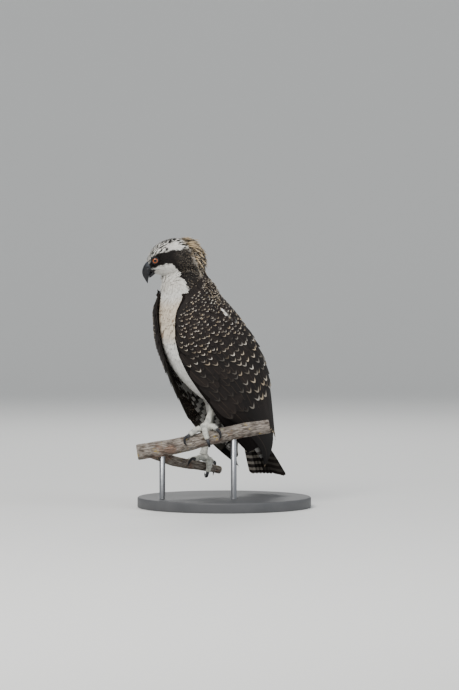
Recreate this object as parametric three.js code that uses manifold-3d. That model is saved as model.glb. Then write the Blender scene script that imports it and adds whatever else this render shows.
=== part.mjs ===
// A juvenile osprey at life size, perched on a forked length of branch that a plain stand holds.
//
// Millimetres, +Z up. The origin is the centre of the base's underside. The body faces -Y, its
// left side is +X, and its head is turned to its right. The bird is laid out in perch space,
// whose origin is the middle of the bird over the branch, and the whole is then lifted onto the
// stand. Trunk space runs l down the back from breast height, x to the left and n to the back.

import * as THREE from "three";
import { mergeVertices } from "three/addons/utils/BufferGeometryUtils.js";
import Module from "manifold-3d";

const wasm = await Module();
wasm.setup();

const DEGREE = Math.PI / 180;

// Driving dimensions of the bird
const GAP = 0.3;
const SLIVER = 0.08;
const TRUNK_TILT = 58.5 * DEGREE;
const TRUNK_ORIGIN = new THREE.Vector3(0, -8.5, 177);
const HEAD_ORIGIN = new THREE.Vector3(-13.9, -66.8, 318);
const HEAD_YAW = 33 * DEGREE;
const HEAD_PITCH = 27 * DEGREE;
const NECK_CUT = -62;
const TAIL_CUT = 186;
const TAIL_END = 292;
const TAIL_TOP = 23;
const TAIL_STEP = 1.3;
const WING_END = 252;
const VANE_THICKNESS = 0.9;
const TIER_SUNK = 2.2;
const TIER_STEP = 1.4;
const WING_LATTICE = 14;
const TIER_THICKNESS = 0.7;
const NAPE_SEED = 41;
const EYE_RADIUS = 8.4;
const EYE_PLACE = [31.5, 12, 12.4];
const LID_RADIUS = 6.3;
const LID_THICKNESS = 1.1;
const LID_REACH = 5.6;

// Driving dimensions of the perch and its stand
const PERCH_LIFT = new THREE.Vector3(-6, -36, 112);
const VIEW_RIGHT = new THREE.Vector3(Math.SQRT1_2, Math.SQRT1_2, 0);
const PERCH_RISE = 12 * DEGREE;
const PERCH_MIDDLE = new THREE.Vector3(24.5, -24.5, 9);
const PERCH_RADIUS = 13;
const BASE_RADIUS = 150;
const BASE_THICKNESS = 18;
const ROD_RADIUS = 5;
const ROD_STATIONS = [-78, 47];

const material = (color, roughness, metalness = 0) =>
  new THREE.MeshStandardMaterial({ color, roughness, metalness });

// Smooth curve through rows of numbers, each led by the station it belongs to
function table(rows) {
  const last = rows.length - 1;
  const slope = (i, c) => {
    const a = rows[Math.max(i - 1, 0)];
    const b = rows[Math.min(i + 1, last)];
    return (b[c] - a[c]) / (b[0] - a[0]);
  };
  return (station) => {
    const s = THREE.MathUtils.clamp(station, rows[0][0], rows[last][0]);
    let i = 0;
    while (i < last - 1 && s > rows[i + 1][0]) i += 1;
    const [a, b] = [rows[i], rows[i + 1]];
    const step = b[0] - a[0];
    const k = (s - a[0]) / step;
    const out = [];
    for (let c = 1; c < a.length; c += 1) {
      const rise = (3 - 2 * k) * k * k;
      const start = k * (1 - k) * (1 - k) * step * slope(i, c);
      const end = k * k * (k - 1) * step * slope(i + 1, c);
      out.push(a[c] * (1 - rise) + b[c] * rise + start + end);
    }
    return out;
  };
}

// Repeatable random numbers from 0 to 1
function randomFrom(seed) {
  let state = seed;
  return () => {
    state = (state * 1664525 + 1013904223) % 4294967296;
    return state / 4294967296;
  };
}

// A closed solid from points and triangles, turned outwards if it comes inside out
function solidFrom(points, faces) {
  const raw = new THREE.BufferGeometry();
  raw.setAttribute("position", new THREE.Float32BufferAttribute(points.flatMap((p) => p.toArray()), 3));
  raw.setIndex(faces.flat());
  return solidOf(raw);
}

function solidOf(geometry) {
  const bare = geometry.clone();
  bare.deleteAttribute("normal");
  bare.deleteAttribute("uv");
  const merged = mergeVertices(bare, 1e-4);
  const p = merged.attributes.position.array;
  const kept = [];
  const index = merged.index.array;
  for (let i = 0; i < index.length; i += 3) {
    const [a, b, c] = [index[i], index[i + 1], index[i + 2]];
    if (a !== b && b !== c && c !== a) kept.push([a, b, c]);
  }
  const [u, v, w] = [new THREE.Vector3(), new THREE.Vector3(), new THREE.Vector3()];
  let volume = 0;
  for (const [a, b, c] of kept) {
    u.fromArray(p, 3 * a);
    v.fromArray(p, 3 * b);
    w.fromArray(p, 3 * c);
    volume += u.dot(v.cross(w));
  }
  const wound = volume < 0 ? kept.map(([a, b, c]) => [a, c, b]) : kept;
  const mesh = new wasm.Mesh({
    numProp: 3,
    vertProperties: new Float32Array(p),
    triVerts: new Uint32Array(wound.flat()),
  });
  return new wasm.Manifold(mesh);
}

// Rings of equal count joined in order. Both ends are closed by a fan to a middle point, or for
// rings that run out along one face and back along the other, by a strip between the two faces
function loft(rings, strips = false) {
  const count = rings[0].length;
  const points = rings.flat();
  const faces = [];
  for (let r = 0; r < rings.length - 1; r += 1) {
    for (let i = 0; i < count; i += 1) {
      const j = (i + 1) % count;
      const [a, b] = [r * count + i, r * count + j];
      faces.push([a, b, b + count], [a, b + count, a + count]);
    }
  }
  const ends = [
    [rings[0], 0, true],
    [rings.at(-1), (rings.length - 1) * count, false],
  ];
  for (const [ring, start, flip] of ends) {
    if (strips) {
      for (let i = 0; i < count / 2 - 1; i += 1) {
        const [a, b] = [start + i, start + i + 1];
        const [c, d] = [start + count - 2 - i, start + count - 1 - i];
        faces.push(flip ? [a, c, b] : [a, b, c], flip ? [a, d, c] : [a, c, d]);
      }
      continue;
    }
    const middle = new THREE.Vector3();
    ring.forEach((q) => middle.addScaledVector(q, 1 / count));
    points.push(middle);
    const hub = points.length - 1;
    for (let i = 0; i < count; i += 1) {
      const j = (i + 1) % count;
      faces.push(flip ? [hub, start + j, start + i] : [hub, start + i, start + j]);
    }
  }
  return solidFrom(points, faces);
}

// A limb of oval section along a smooth path: size(t) gives the half width along side and the
// half depth across it
function limb(path, steps, sides, side, size) {
  const curve = new THREE.CatmullRomCurve3(path, false, "centripetal");
  const rings = [];
  for (let k = 0; k <= steps; k += 1) {
    const t = k / steps;
    const centre = curve.getPoint(t);
    const tangent = curve.getTangent(t);
    const across = side.clone().addScaledVector(tangent, -side.dot(tangent)).normalize();
    const up = new THREE.Vector3().crossVectors(tangent, across);
    const [w, h] = size(t);
    const ring = [];
    for (let i = 0; i < sides; i += 1) {
      const angle = (2 * Math.PI * i) / sides;
      const place = centre.clone().addScaledVector(across, w * Math.cos(angle));
      ring.push(place.addScaledVector(up, h * Math.sin(angle)));
    }
    rings.push(ring);
  }
  return loft(rings);
}

const volumeOf = (solid) => solid.volume();

// The largest closed surface of a solid, without slivers finer than the tolerance
function largest(solid) {
  return solid.decompose().sort((a, b) => volumeOf(b) - volumeOf(a))[0].simplify(SLIVER);
}

const join = (...solids) => largest(solids.slice(1).reduce((all, one) => all.add(one), solids[0]));

const cut = (solid, ...tools) => largest(tools.reduce((left, tool) => left.subtract(tool), solid));

const bird = new THREE.Group();
bird.position.copy(PERCH_LIFT);
const model = new THREE.Group();
model.add(bird);

function addSolid(group, name, solid, look) {
  const { vertProperties, triVerts } = solid.getMesh();
  const geometry = new THREE.BufferGeometry();
  geometry.setAttribute("position", new THREE.BufferAttribute(vertProperties, 3));
  geometry.setIndex(new THREE.BufferAttribute(triVerts, 1));
  geometry.computeVertexNormals();
  const mesh = new THREE.Mesh(geometry, look);
  mesh.name = name;
  group.add(mesh);
}

// Trunk space
const DOWN_BACK = new THREE.Vector3(0, Math.cos(TRUNK_TILT), -Math.sin(TRUNK_TILT));
const TO_BACK = new THREE.Vector3(0, Math.sin(TRUNK_TILT), Math.cos(TRUNK_TILT));
const TO_LEFT = new THREE.Vector3(1, 0, 0);

function trunk(l, x, n) {
  return TRUNK_ORIGIN.clone()
    .addScaledVector(DOWN_BACK, l)
    .addScaledVector(TO_LEFT, x)
    .addScaledVector(TO_BACK, n);
}

// Head space: f forward along the bill, s to the bird's left, v up through the crown
const HEAD_FORWARD = new THREE.Vector3(
  -Math.sin(HEAD_YAW) * Math.cos(HEAD_PITCH),
  -Math.cos(HEAD_YAW) * Math.cos(HEAD_PITCH),
  -Math.sin(HEAD_PITCH),
);
const HEAD_LEFT = new THREE.Vector3(Math.cos(HEAD_YAW), -Math.sin(HEAD_YAW), 0);
const HEAD_UP = new THREE.Vector3().crossVectors(HEAD_FORWARD, HEAD_LEFT);

function head(f, s, v) {
  return HEAD_ORIGIN.clone()
    .addScaledVector(HEAD_FORWARD, f)
    .addScaledVector(HEAD_LEFT, s)
    .addScaledVector(HEAD_UP, v);
}

// Trunk and neck: station l, half width, front n and back n
const trunkSize = table([
  [-137, 10, 4, 30, -13],
  [-134, 20, -6, 38, -12],
  [-128, 30, -14, 45, -10],
  [-112, 36, -25, 51, -5],
  [-92, 41, -44, 52, -1],
  [-75, 47, -56, 53, 0],
  [-50, 57, -66, 53, 0],
  [-20, 64, -71, 61, 0],
  [20, 66, -68, 66, 0],
  [60, 62, -57, 70, 0],
  [100, 54, -38, 66, 0],
  [135, 43, -20, 54, 0],
  [165, 33, -6, 41, 0],
  [196, 24, 5, 30, 0],
]);

function trunkRing(l, sides, grow) {
  const [width, front, back, shift] = trunkSize(l);
  const [middle, depth] = [(front + back) / 2, (back - front) / 2];
  const ring = [];
  for (let i = 0; i < sides; i += 1) {
    const angle = (2 * Math.PI * i) / sides;
    const [across, deep] = [(width + grow) * Math.sin(angle), (depth + grow) * Math.cos(angle)];
    ring.push(trunk(l, shift + across, middle + deep));
  }
  return ring;
}

function trunkSolid(grow) {
  const rings = [];
  const stations = [
    -137, -134, -127, -114, -98, -80, -60, -40, -18,
    6, 30, 54, 78, 102, 126, 150, 173, 196,
  ];
  for (const l of stations) rings.push(trunkRing(l, 22, grow));
  return loft(rings);
}

// Head: station f, half width, underside v and crown v
const headSize = table([
  [-46, 10, -22, 2],
  [-42, 20, -36, 12],
  [-34, 26, -46, 19.5],
  [-20, 29.5, -48, 27.5],
  [-5, 29.5, -42, 33],
  [10, 27, -34, 34],
  [23, 23, -25, 32],
  [33, 18, -15, 27],
  [41, 12.5, -8.5, 21],
  [46, 9, -4, 15.5],
]);

function headSolid() {
  const rings = [];
  const sides = 20;
  for (const f of [-46, -44, -39, -31, -20, -8, 5, 17, 26, 34, 41, 46]) {
    const [width, low, high] = headSize(f);
    const [middle, depth] = [(low + high) / 2, (high - low) / 2];
    const ring = [];
    for (let i = 0; i < sides; i += 1) {
      const angle = (2 * Math.PI * i) / sides;
      ring.push(head(f, width * Math.sin(angle), middle + depth * Math.cos(angle)));
    }
    rings.push(ring);
  }
  return loft(rings);
}

function ball(centre, radius, across, down) {
  const geometry = new THREE.SphereGeometry(radius, across, down);
  geometry.translate(centre.x, centre.y, centre.z);
  return solidOf(geometry);
}

// Bill: the upper half hooks over the lower one
function billUpper(grow) {
  const spine = [[38, 0, 9], [45, 0, 7], [52, 0, 3.4], [56.2, 0, -1.8], [58.2, 0, -8], [59.4, 0, -18]];
  const size = table([
    [0, 8.6, 8.6],
    [0.2, 7.6, 7.8],
    [0.42, 6, 7],
    [0.62, 4.4, 5.2],
    [0.82, 2.6, 3],
    [1, 0.5, 0.6],
  ]);
  const path = spine.map(([f, s, v]) => head(f, s, v));
  return limb(path, 10, 12, HEAD_LEFT, (t) => size(t).map((r) => r + grow));
}

function billLower(grow) {
  const spine = [[34, 0, -4.6], [42, 0, -6.6], [49, 0, -9], [54.4, 0, -11.6]];
  const size = table([[0, 7, 3.4], [0.4, 5.6, 3], [0.75, 3.8, 2.2], [1, 1.4, 0.8]]);
  const path = spine.map(([f, s, v]) => head(f, s, v));
  return limb(path, 7, 12, HEAD_LEFT, (t) => size(t).map((r) => r + grow));
}

// Folded wing: for each station l, four control points of its section from the lower edge round
// the side to the upper edge, as x and n, and the thickness of the wing there
const wingSize = table([
  [-104, 33, -30, 42, -22, 46, 14, 32, 29, 8],
  [-90, 27, -50, 54, -40, 58, 26, 22, 45, 12],
  [-70, 22, -63, 64, -50, 74, 34, 12, 55, 14],
  [-40, 20, -76, 80, -54, 90, 52, 6, 63, 14],
  [0, 22, -82, 88, -50, 96, 64, 4, 72, 13],
  [40, 28, -81, 87, -42, 97, 73, 4, 81, 12],
  [85, 36, -75, 83, -34, 90, 75, 5, 84, 10],
  [130, 38, -68, 76, -24, 80, 64, 6, 75, 8],
  [170, 37, -54, 64, -16, 66, 52, 8, 60, 6],
  [205, 34, -39, 52, -13, 52, 40, 12, 46, 5],
  [232, 30, -27, 41, -13, 42, 20, 24, 30, 4],
  [252, 26, -20, 29, -16, 30, -8, 27, -4, 3],
]);

const WING_EDGE_SPAN = 30;

function wingPoint(l, t, depth, mirror) {
  const [x0, n0, x1, n1, x2, n2, x3, n3] = wingSize(l);
  const [a, b, c, d] = [(1 - t) ** 3, 3 * t * (1 - t) ** 2, 3 * t * t * (1 - t), t ** 3];
  const x = a * x0 + b * x1 + c * x2 + d * x3;
  const n = a * n0 + b * n1 + c * n2 + d * n3;
  const dx = 3 * ((1 - t) ** 2 * (x1 - x0) + 2 * t * (1 - t) * (x2 - x1) + t * t * (x3 - x2));
  const dn = 3 * ((1 - t) ** 2 * (n1 - n0) + 2 * t * (1 - t) * (n2 - n1) + t * t * (n3 - n2));
  const stretch = Math.hypot(dx, dn);
  const point = trunk(l, mirror * (x - (depth * dn) / stretch), n + (depth * dx) / stretch);
  return { point, stretch };
}

// Closed core of the folded wing, thick in the middle of its section and thin at both edges
function wingCore(mirror, grow) {
  const rings = [];
  const across = WING_LATTICE;
  const stations = [-104, -97, -84, -64, -38, -8, 26, 62, 100, 138, 172, 208];
  stations[0] -= grow;
  stations[stations.length - 1] += grow;
  for (const l of stations) {
    const thickness = wingSize(l)[8];
    const spread = (t) => t + ((2 * t - 1) * grow) / WING_EDGE_SPAN;
    const ring = [];
    for (let i = 0; i <= across; i += 1) {
      ring.push(wingPoint(l, spread(i / across), -grow, mirror).point);
    }
    for (let i = across; i >= 0; i -= 1) {
      const t = i / across;
      const full = Math.min(1, 0.16 + 1.5 * Math.sqrt(t * (1 - t)));
      ring.push(wingPoint(l, spread(t), thickness * full + grow, mirror).point);
    }
    rings.push(ring);
  }
  return loft(rings, true);
}

// One feather: a plate of three columns and a few rows, both faces split alike. place(a, v, h)
// gives the point at a from -1 to 1 across, v from 0 at the root to 1 at the tip, and height h
function vane(place, rows, height, thickness) {
  const columns = [-1, 0, 1];
  const points = [];
  for (const face of [0, 1]) {
    for (let r = 0; r <= rows; r += 1) {
      const v = r / rows;
      for (const a of columns) points.push(place(a, v, height(a, v) - face * thickness));
    }
  }
  const size = 3 * (rows + 1);
  const faces = [];
  const quad = (a, b, c, d) => faces.push([a, b, c], [a, c, d]);
  for (let r = 0; r < rows; r += 1) {
    for (const c of [0, 1]) {
      const [p, q] = [3 * r + c, 3 * (r + 1) + c];
      quad(p, p + 1, q + 1, q);
      faces.push([size + p, size + q + 1, size + p + 1], [size + p, size + q, size + q + 1]);
    }
    const [p, q] = [3 * r, 3 * (r + 1)];
    quad(p, q, size + q, size + p);
    quad(p + 2, size + p + 2, size + q + 2, q + 2);
  }
  const end = 3 * rows;
  for (const c of [0, 1]) {
    quad(c, size + c, size + c + 1, c + 1);
    quad(end + c, end + c + 1, size + end + c + 1, size + end + c);
  }
  return solidFrom(points, faces);
}

// Half width of a feather along its length, as a share of its widest, with a rounded tip
const vaneWidth = (v) => Math.min(0.55 + 1.2 * v, 1) * (v > 0.99 ? 0.5 : 1);

// A feather that lies on the folded wing from station l and share t to its tip
function wingVane(side, from, to, width, sunk, lift, rows) {
  const place = (a, v, h) => {
    const tipReach = v > 0.99 ? 0.07 * (to.l - from.l) * (1 - Math.abs(a)) : 0;
    const l = THREE.MathUtils.lerp(from.l, to.l, v) + tipReach;
    const t = THREE.MathUtils.lerp(from.t, to.t, v);
    const { stretch } = wingPoint(Math.min(l, WING_END), t, 0, side);
    const across = (0.5 * width * vaneWidth(v) * a) / stretch;
    return wingPoint(l, t + across, -h, side).point;
  };
  const height = (a, v) => -sunk + (sunk + lift) * v - 0.55 * a;
  return vane(place, rows, height, VANE_THICKNESS);
}

// One tier of overlapping feathers as a single plate: each feather's near edge steps over the far
// edge of the one before, and its tip stands free. The plate is sunk at its roots.
function wingTier(side, tier, tips) {
  const { l, first, count, lift, rows } = tier;
  const step = 2 / WING_LATTICE;
  const from = first / WING_LATTICE;
  const edgeTip = (i) => (tips[Math.max(i - 1, 0)] + tips[Math.min(i, count - 1)]) / 2;
  const place = (t, tip, v, height) => {
    const station = THREE.MathUtils.lerp(l, tip, v);
    const rise = -TIER_SUNK + (TIER_SUNK + lift) * v;
    return wingPoint(station, t, -(rise + height), side).point;
  };
  const top = [];
  const bottom = [];
  for (let i = 0; i < count; i += 1) {
    const near = from + i * step;
    const { stretch } = wingPoint(l, near + step / 2, 0, side);
    const over = i === 0 ? 0 : TIER_STEP / stretch;
    const scallop = [0.86 * (edgeTip(i) - l) + l, tips[i], 0.86 * (edgeTip(i + 1) - l) + l];
    top.push(
      [near - over, scallop[0], TIER_STEP],
      [near + step / 2, scallop[1], 0.35 * TIER_STEP],
      [near + step, scallop[2], 0],
    );
    bottom.push([near, scallop[0], -TIER_THICKNESS], [near + step / 2, scallop[1], -TIER_THICKNESS]);
    if (i === count - 1) bottom.push([near + step, scallop[2], -TIER_THICKNESS]);
  }
  const points = [];
  for (const columns of [top, bottom]) {
    for (const [t, tip, height] of columns) {
      for (let r = 0; r <= rows; r += 1) points.push(place(t, tip, r / rows, height));
    }
  }
  const high = (c, r) => c * (rows + 1) + r;
  const low = (c, r) => (top.length + c) * (rows + 1) + r;
  const faces = [];
  const quad = (a, b, c, d) => faces.push([a, b, c], [a, c, d]);
  for (let c = 0; c < top.length - 1; c += 1) {
    for (let r = 0; r < rows; r += 1) quad(high(c, r), high(c, r + 1), high(c + 1, r + 1), high(c + 1, r));
  }
  for (let c = 0; c < bottom.length - 1; c += 1) {
    for (let r = 0; r < rows; r += 1) quad(low(c + 1, r), low(c + 1, r + 1), low(c, r + 1), low(c, r));
  }
  const [lastTop, lastBottom] = [top.length - 1, bottom.length - 1];
  for (let r = 0; r < rows; r += 1) {
    quad(high(0, r), low(0, r), low(0, r + 1), high(0, r + 1));
    quad(high(lastTop, r + 1), low(lastBottom, r + 1), low(lastBottom, r), high(lastTop, r));
  }
  for (const [r, flip] of [[0, false], [rows, true]]) {
    const face = (a, b, c) => faces.push(flip ? [a, c, b] : [a, b, c]);
    for (let i = 0; i < count; i += 1) {
      const [h, b] = [3 * i, 2 * i];
      for (const k of [0, 1]) {
        face(high(h + k, r), high(h + k + 1, r), low(b + k + 1, r));
        face(high(h + k, r), low(b + k + 1, r), low(b + k, r));
      }
      if (i < count - 1) face(high(h + 2, r), high(h + 3, r), low(b + 2, r));
    }
  }
  return solidFrom(points, faces);
}

// Tiers of the folded wing, from the shoulder down: root station, first lattice line from the lower
// edge, count, length and how far the tips lift
const WING_TIERS = [
  { l: -92, first: 3, count: 5, length: 36, lift: 2.2, rows: 2 },
  { l: -70, first: 2, count: 6, length: 42, lift: 2.3, rows: 2 },
  { l: -42, first: 1, count: 6, length: 46, lift: 2.4, rows: 2 },
  { l: -12, first: 2, count: 6, length: 54, lift: 2.5, rows: 2 },
  { l: 26, first: 1, count: 6, length: 66, lift: 2.6, rows: 2 },
];
const SECONDARIES = { l: 70, first: 3, count: 5, tips: [164, 222], lift: 2.6, rows: 4 };
const PRIMARIES = { l: 112, t: [0.13, 0.3], tipT: [0.3, 0.66], count: 5, tips: [252, 214], width: 24 };

const spreadOf = ([from, to], i, count) => from + ((to - from) * i) / (count - 1);

function wingSolid(side, seed) {
  const random = randomFrom(seed);
  const vanes = [];
  for (const tier of WING_TIERS) {
    const tips = Array.from({ length: tier.count }, () => tier.l + tier.length * (0.95 + 0.1 * random()));
    vanes.push(wingTier(side, tier, tips));
  }
  const { count, tips } = SECONDARIES;
  const ends = Array.from({ length: count }, (_, i) => spreadOf(tips, i, count) + 5 * (random() - 0.5));
  vanes.push(wingTier(side, SECONDARIES, ends));
  for (let i = 0; i < PRIMARIES.count; i += 1) {
    const from = { l: PRIMARIES.l + 8 * i, t: spreadOf(PRIMARIES.t, i, PRIMARIES.count) };
    const to = {
      l: spreadOf(PRIMARIES.tips, i, PRIMARIES.count),
      t: spreadOf(PRIMARIES.tipT, i, PRIMARIES.count),
    };
    vanes.push(wingVane(side, from, to, PRIMARIES.width, 1.6 + 0.4 * i, -1.2 - 1.3 * i, 3));
  }
  return join(wingCore(side, 0), ...vanes);
}

// Tail: a short core under the coverts and six feathers a side, fanned and stacked
const tailSize = table([[180, 20, 16, 7], [200, 23, 17, 6.4], [214, 20, 17.5, 5]]);

function tailCore(start) {
  const rings = [];
  for (const l of [start, 196, 206, 214]) {
    const [width, middle, depth] = tailSize(l);
    const ring = [];
    for (let i = 0; i < 16; i += 1) {
      const angle = (2 * Math.PI * i) / 16;
      ring.push(trunk(l, width * Math.cos(angle), middle + depth * Math.sin(angle)));
    }
    rings.push(ring);
  }
  return loft(rings);
}

function tailVane(side, k) {
  const layer = TAIL_TOP - TAIL_STEP * (k === 0 && side > 0 ? 0 : k + 1);
  const end = TAIL_END - 0.9 * k;
  const place = (a, v, h) => {
    const rounding = v > 0.99 ? 4 * Math.abs(a) : 0;
    const l = THREE.MathUtils.lerp(192, end, v) - rounding;
    const middle = THREE.MathUtils.lerp(1.5 + 2.6 * k, 3.6 + 6.7 * k, v);
    const half = THREE.MathUtils.lerp(5, 8.6, Math.min(1, 1.5 * v)) * (v > 0.99 ? 0.72 : 1);
    return trunk(l, side * (middle + half * a), h);
  };
  return vane(place, 4, (a, v) => layer - 0.12 * k * k * v, 0.85);
}

function tailSolid(start) {
  const vanes = [];
  for (const side of [1, -1]) {
    for (let k = 0; k < 6; k += 1) vanes.push(tailVane(side, k));
  }
  return join(tailCore(start), ...vanes);
}

// Nape: ragged pointed feathers that stand off the back of the head
function napeVane(f, angle, length, width, stand) {
  const [half, low, high] = headSize(f);
  const [middle, depth] = [(low + high) / 2, (high - low) / 2];
  const out = new THREE.Vector3()
    .addScaledVector(HEAD_LEFT, Math.sin(angle) / half)
    .addScaledVector(HEAD_UP, Math.cos(angle) / depth)
    .normalize();
  const root = head(f, half * Math.sin(angle), middle + depth * Math.cos(angle)).addScaledVector(out, -2.5);
  const run = new THREE.Vector3()
    .addScaledVector(HEAD_FORWARD, -1)
    .addScaledVector(HEAD_UP, -0.75)
    .addScaledVector(out, stand)
    .normalize();
  const across = new THREE.Vector3().crossVectors(run, out).normalize();
  const up = new THREE.Vector3().crossVectors(across, run);
  const place = (a, v, h) => {
    const half = 0.5 * width * (1 - 0.72 * v * v);
    return root.clone()
      .addScaledVector(run, length * v - 2 * Math.abs(a) * v)
      .addScaledVector(across, half * a)
      .addScaledVector(up, h - 3.5 * v * v);
  };
  return vane(place, 2, () => 0.5, 1);
}

function napeVanes() {
  const random = randomFrom(NAPE_SEED);
  const vanes = [];
  for (const [f, count, length] of [[-18, 3, 21], [-29, 4, 21]]) {
    for (let i = 0; i < count; i += 1) {
      const angle = spreadOf([-1.25, 1.25], i, count) + 0.16 * (random() - 0.5);
      vanes.push(napeVane(f, angle, length * (0.9 + 0.25 * random()), 7, 0.16 + 0.14 * random()));
    }
  }
  return vanes;
}

// Legs
function thigh(side, grow) {
  const path = side > 0
    ? [new THREE.Vector3(28, 24, 126), new THREE.Vector3(26, 12, 103), new THREE.Vector3(21, -4, 76)]
    : [new THREE.Vector3(-28, 40, 118), new THREE.Vector3(-25, 37, 92), new THREE.Vector3(-21.6, 33, 54)];
  const size = table([[0, 27, 30], [0.4, 21, 25], [0.75, 12.5, 14.5], [1, 8, 8.4]]);
  return limb(path, 8, 16, TO_LEFT, (t) => size(t).map((r) => r + grow));
}

function tarsus(side) {
  const path = side > 0
    ? [
        new THREE.Vector3(20.8, -4.8, 75),
        new THREE.Vector3(20.4, -12, 52),
        new THREE.Vector3(23.6, -24.4, 31),
      ]
    : [
        new THREE.Vector3(-21.6, 32.6, 53),
        new THREE.Vector3(-22.4, 26, 16),
        new THREE.Vector3(-24.4, 15, -22),
      ];
  const size = table([[0, 6.6, 6.8], [0.2, 5.4, 5.8], [0.75, 5.2, 5.6], [1, 7.4, 7.4]]);
  return limb(path, 7, 12, TO_LEFT, (t) => size(t));
}

// Perch: a main limb that rises to the bird's left and a lower fork under the right foot
const PERCH_ALONG = VIEW_RIGHT.clone()
  .multiplyScalar(Math.cos(PERCH_RISE))
  .addScaledVector(new THREE.Vector3(0, 0, 1), Math.sin(PERCH_RISE));
const FORK_START = new THREE.Vector3(-47, -90, -13);
const FORK_MIDDLE = new THREE.Vector3(-24.4, 14.6, -42);
const FORK_END = new THREE.Vector3(-18.5, 50, -50);
const FORK_ALONG = FORK_END.clone().sub(FORK_MIDDLE).normalize();
const FORK_RADIUS = 8;

function perchLimb(grow) {
  const path = [-122, -60, 0, 55, 110].map((s, i) => {
    const bend = [2.5, -1, 0, 1.4, -1][i];
    return PERCH_MIDDLE.clone().addScaledVector(PERCH_ALONG, s).add(new THREE.Vector3(0, 0, bend));
  });
  const size = table([[0, 14, 13.6], [0.25, 14, 13.6], [0.53, 13, 13], [0.8, 12.8, 12.4], [1, 12, 12]]);
  return limb(path, 10, 14, new THREE.Vector3(0, 0, 1), (t) => size(t).map((r) => r + grow));
}

function perchFork(grow) {
  const path = [FORK_START, new THREE.Vector3(-38, -42, -31), FORK_MIDDLE, FORK_END];
  const size = table([[0, 11, 11], [0.3, 9.4, 9.4], [0.72, 8, 8], [1, 7, 7]]);
  return limb(path, 7, 10, new THREE.Vector3(0, 0, 1), (t) => size(t).map((r) => r + grow));
}

// A point near a round limb: s along it, angle round it from the top towards the viewer's side
function gripPoint(middle, along, s, angle, radius) {
  const up = new THREE.Vector3(0, 0, 1).addScaledVector(along, -along.z).normalize();
  const front = new THREE.Vector3().crossVectors(up, along).negate();
  return middle.clone()
    .addScaledVector(along, s)
    .addScaledVector(up, radius * Math.cos(angle * DEGREE))
    .addScaledVector(front, radius * Math.sin(angle * DEGREE));
}

// Toes and claws grip their limb; each toe is stations of s, angle and the height over the bark
const LEFT_TOES = {
  inner: {
    toe: [[-8, 6, 6.6], [-17, 20, 6], [-27, 42, 5]],
    claw: [[-28.5, 46, 5], [-36, 62, 7], [-38, 84, 4.4], [-35, 102, 1.6]],
  },
  middle: {
    toe: [[0, 30, 7], [0, 58, 6.2], [1, 88, 5]],
    claw: [[1, 92, 5], [2, 112, 7.5], [2, 134, 5], [0, 152, 1.6]],
  },
  outer: {
    toe: [[8, 6, 6.6], [15, 18, 6], [20, 42, 5]],
    claw: [[20.8, 46, 5], [24, 66, 7.5], [24, 90, 5], [20, 110, 1.6]],
  },
  hind: {
    toe: [[0, -30, 7], [0, -56, 6.2], [0, -82, 5]],
    claw: [[0, -86, 5], [0, -106, 8], [0, -130, 6], [0, -150, 1.8]],
  },
};
const RIGHT_TOES = {
  inner: {
    toe: [[-8, 22, 6.6], [-16, 30, 6], [-26, 48, 5]],
    claw: [[-27.5, 52, 5], [-36, 62, 7.5], [-40, 92, 5], [-37, 124, 1.6]],
  },
  middle: {
    toe: [[1, 50, 7], [2, 84, 6.4], [4, 124, 5]],
    claw: [[4.5, 130, 5], [7, 160, 8], [10, 190, 7], [10, 216, 3]],
  },
  outer: {
    toe: [[-7, -36, 6.6], [-14, -50, 6], [-24, -66, 5]],
    claw: [[-25.4, -70, 5], [-33, -88, 8], [-36, -116, 7], [-34, -142, 3]],
  },
  hind: {
    toe: [[8, -14, 6.8], [15, -20, 6.2], [22, -32, 5.6]],
    claw: [[23.4, -36, 5.6], [33, -50, 9], [36, -96, 9], [31, -140, 6]],
  },
};

function gripPath(stations, middle, along, barkRadius) {
  return stations.map(([s, angle, height]) => gripPoint(middle, along, s, angle, barkRadius + height));
}

function toeSolid(stations, middle, along, barkRadius) {
  const path = gripPath(stations, middle, along, barkRadius);
  const size = table([[0, 5.6, 5.6], [0.5, 5.2, 5.2], [1, 4.2, 4.2]]);
  return limb(path, 5, 8, along, (t) => size(t));
}

function clawSolid(stations, middle, along, barkRadius, grow) {
  const path = gripPath(stations, middle, along, barkRadius);
  const size = table([[0, 3.3, 3.3], [0.35, 2.7, 2.9], [0.75, 1.5, 1.6], [1, 0.4, 0.4]]);
  return limb(path, 6, 6, along, (t) => size(t).map((r) => r + grow));
}

// Looks
const looks = {
  dark: material("#2a2320", 0.8),
  pale: material("#e8e2d6", 0.85),
  mixed: material("#8d8378", 0.85),
  bill: material("#22252b", 0.35),
  claw: material("#17181b", 0.35),
  eye: material("#b5541c", 0.1),
  foot: material("#c3cbc8", 0.6),
  bark: material("#7b7166", 0.9),
  base: material("#3a3a3c", 0.5),
  rod: material("#8c8f93", 0.35, 1),
};

// Wings
const wings = [[1, "left"], [-1, "right"]];
const wingTools = wings.map(([side]) => wingCore(side, GAP + 0.05));
wings.forEach(([side, name], i) => addSolid(bird, `wing_${name}`, wingSolid(side, 11 + i), looks.dark));

// Thighs
const thighTools = wings.map(([side]) => thigh(side, GAP + 0.05));
wings.forEach(([side, name]) => {
  addSolid(bird, `thigh_${name}`, cut(thigh(side, 0), ...wingTools), looks.pale);
});

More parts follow.
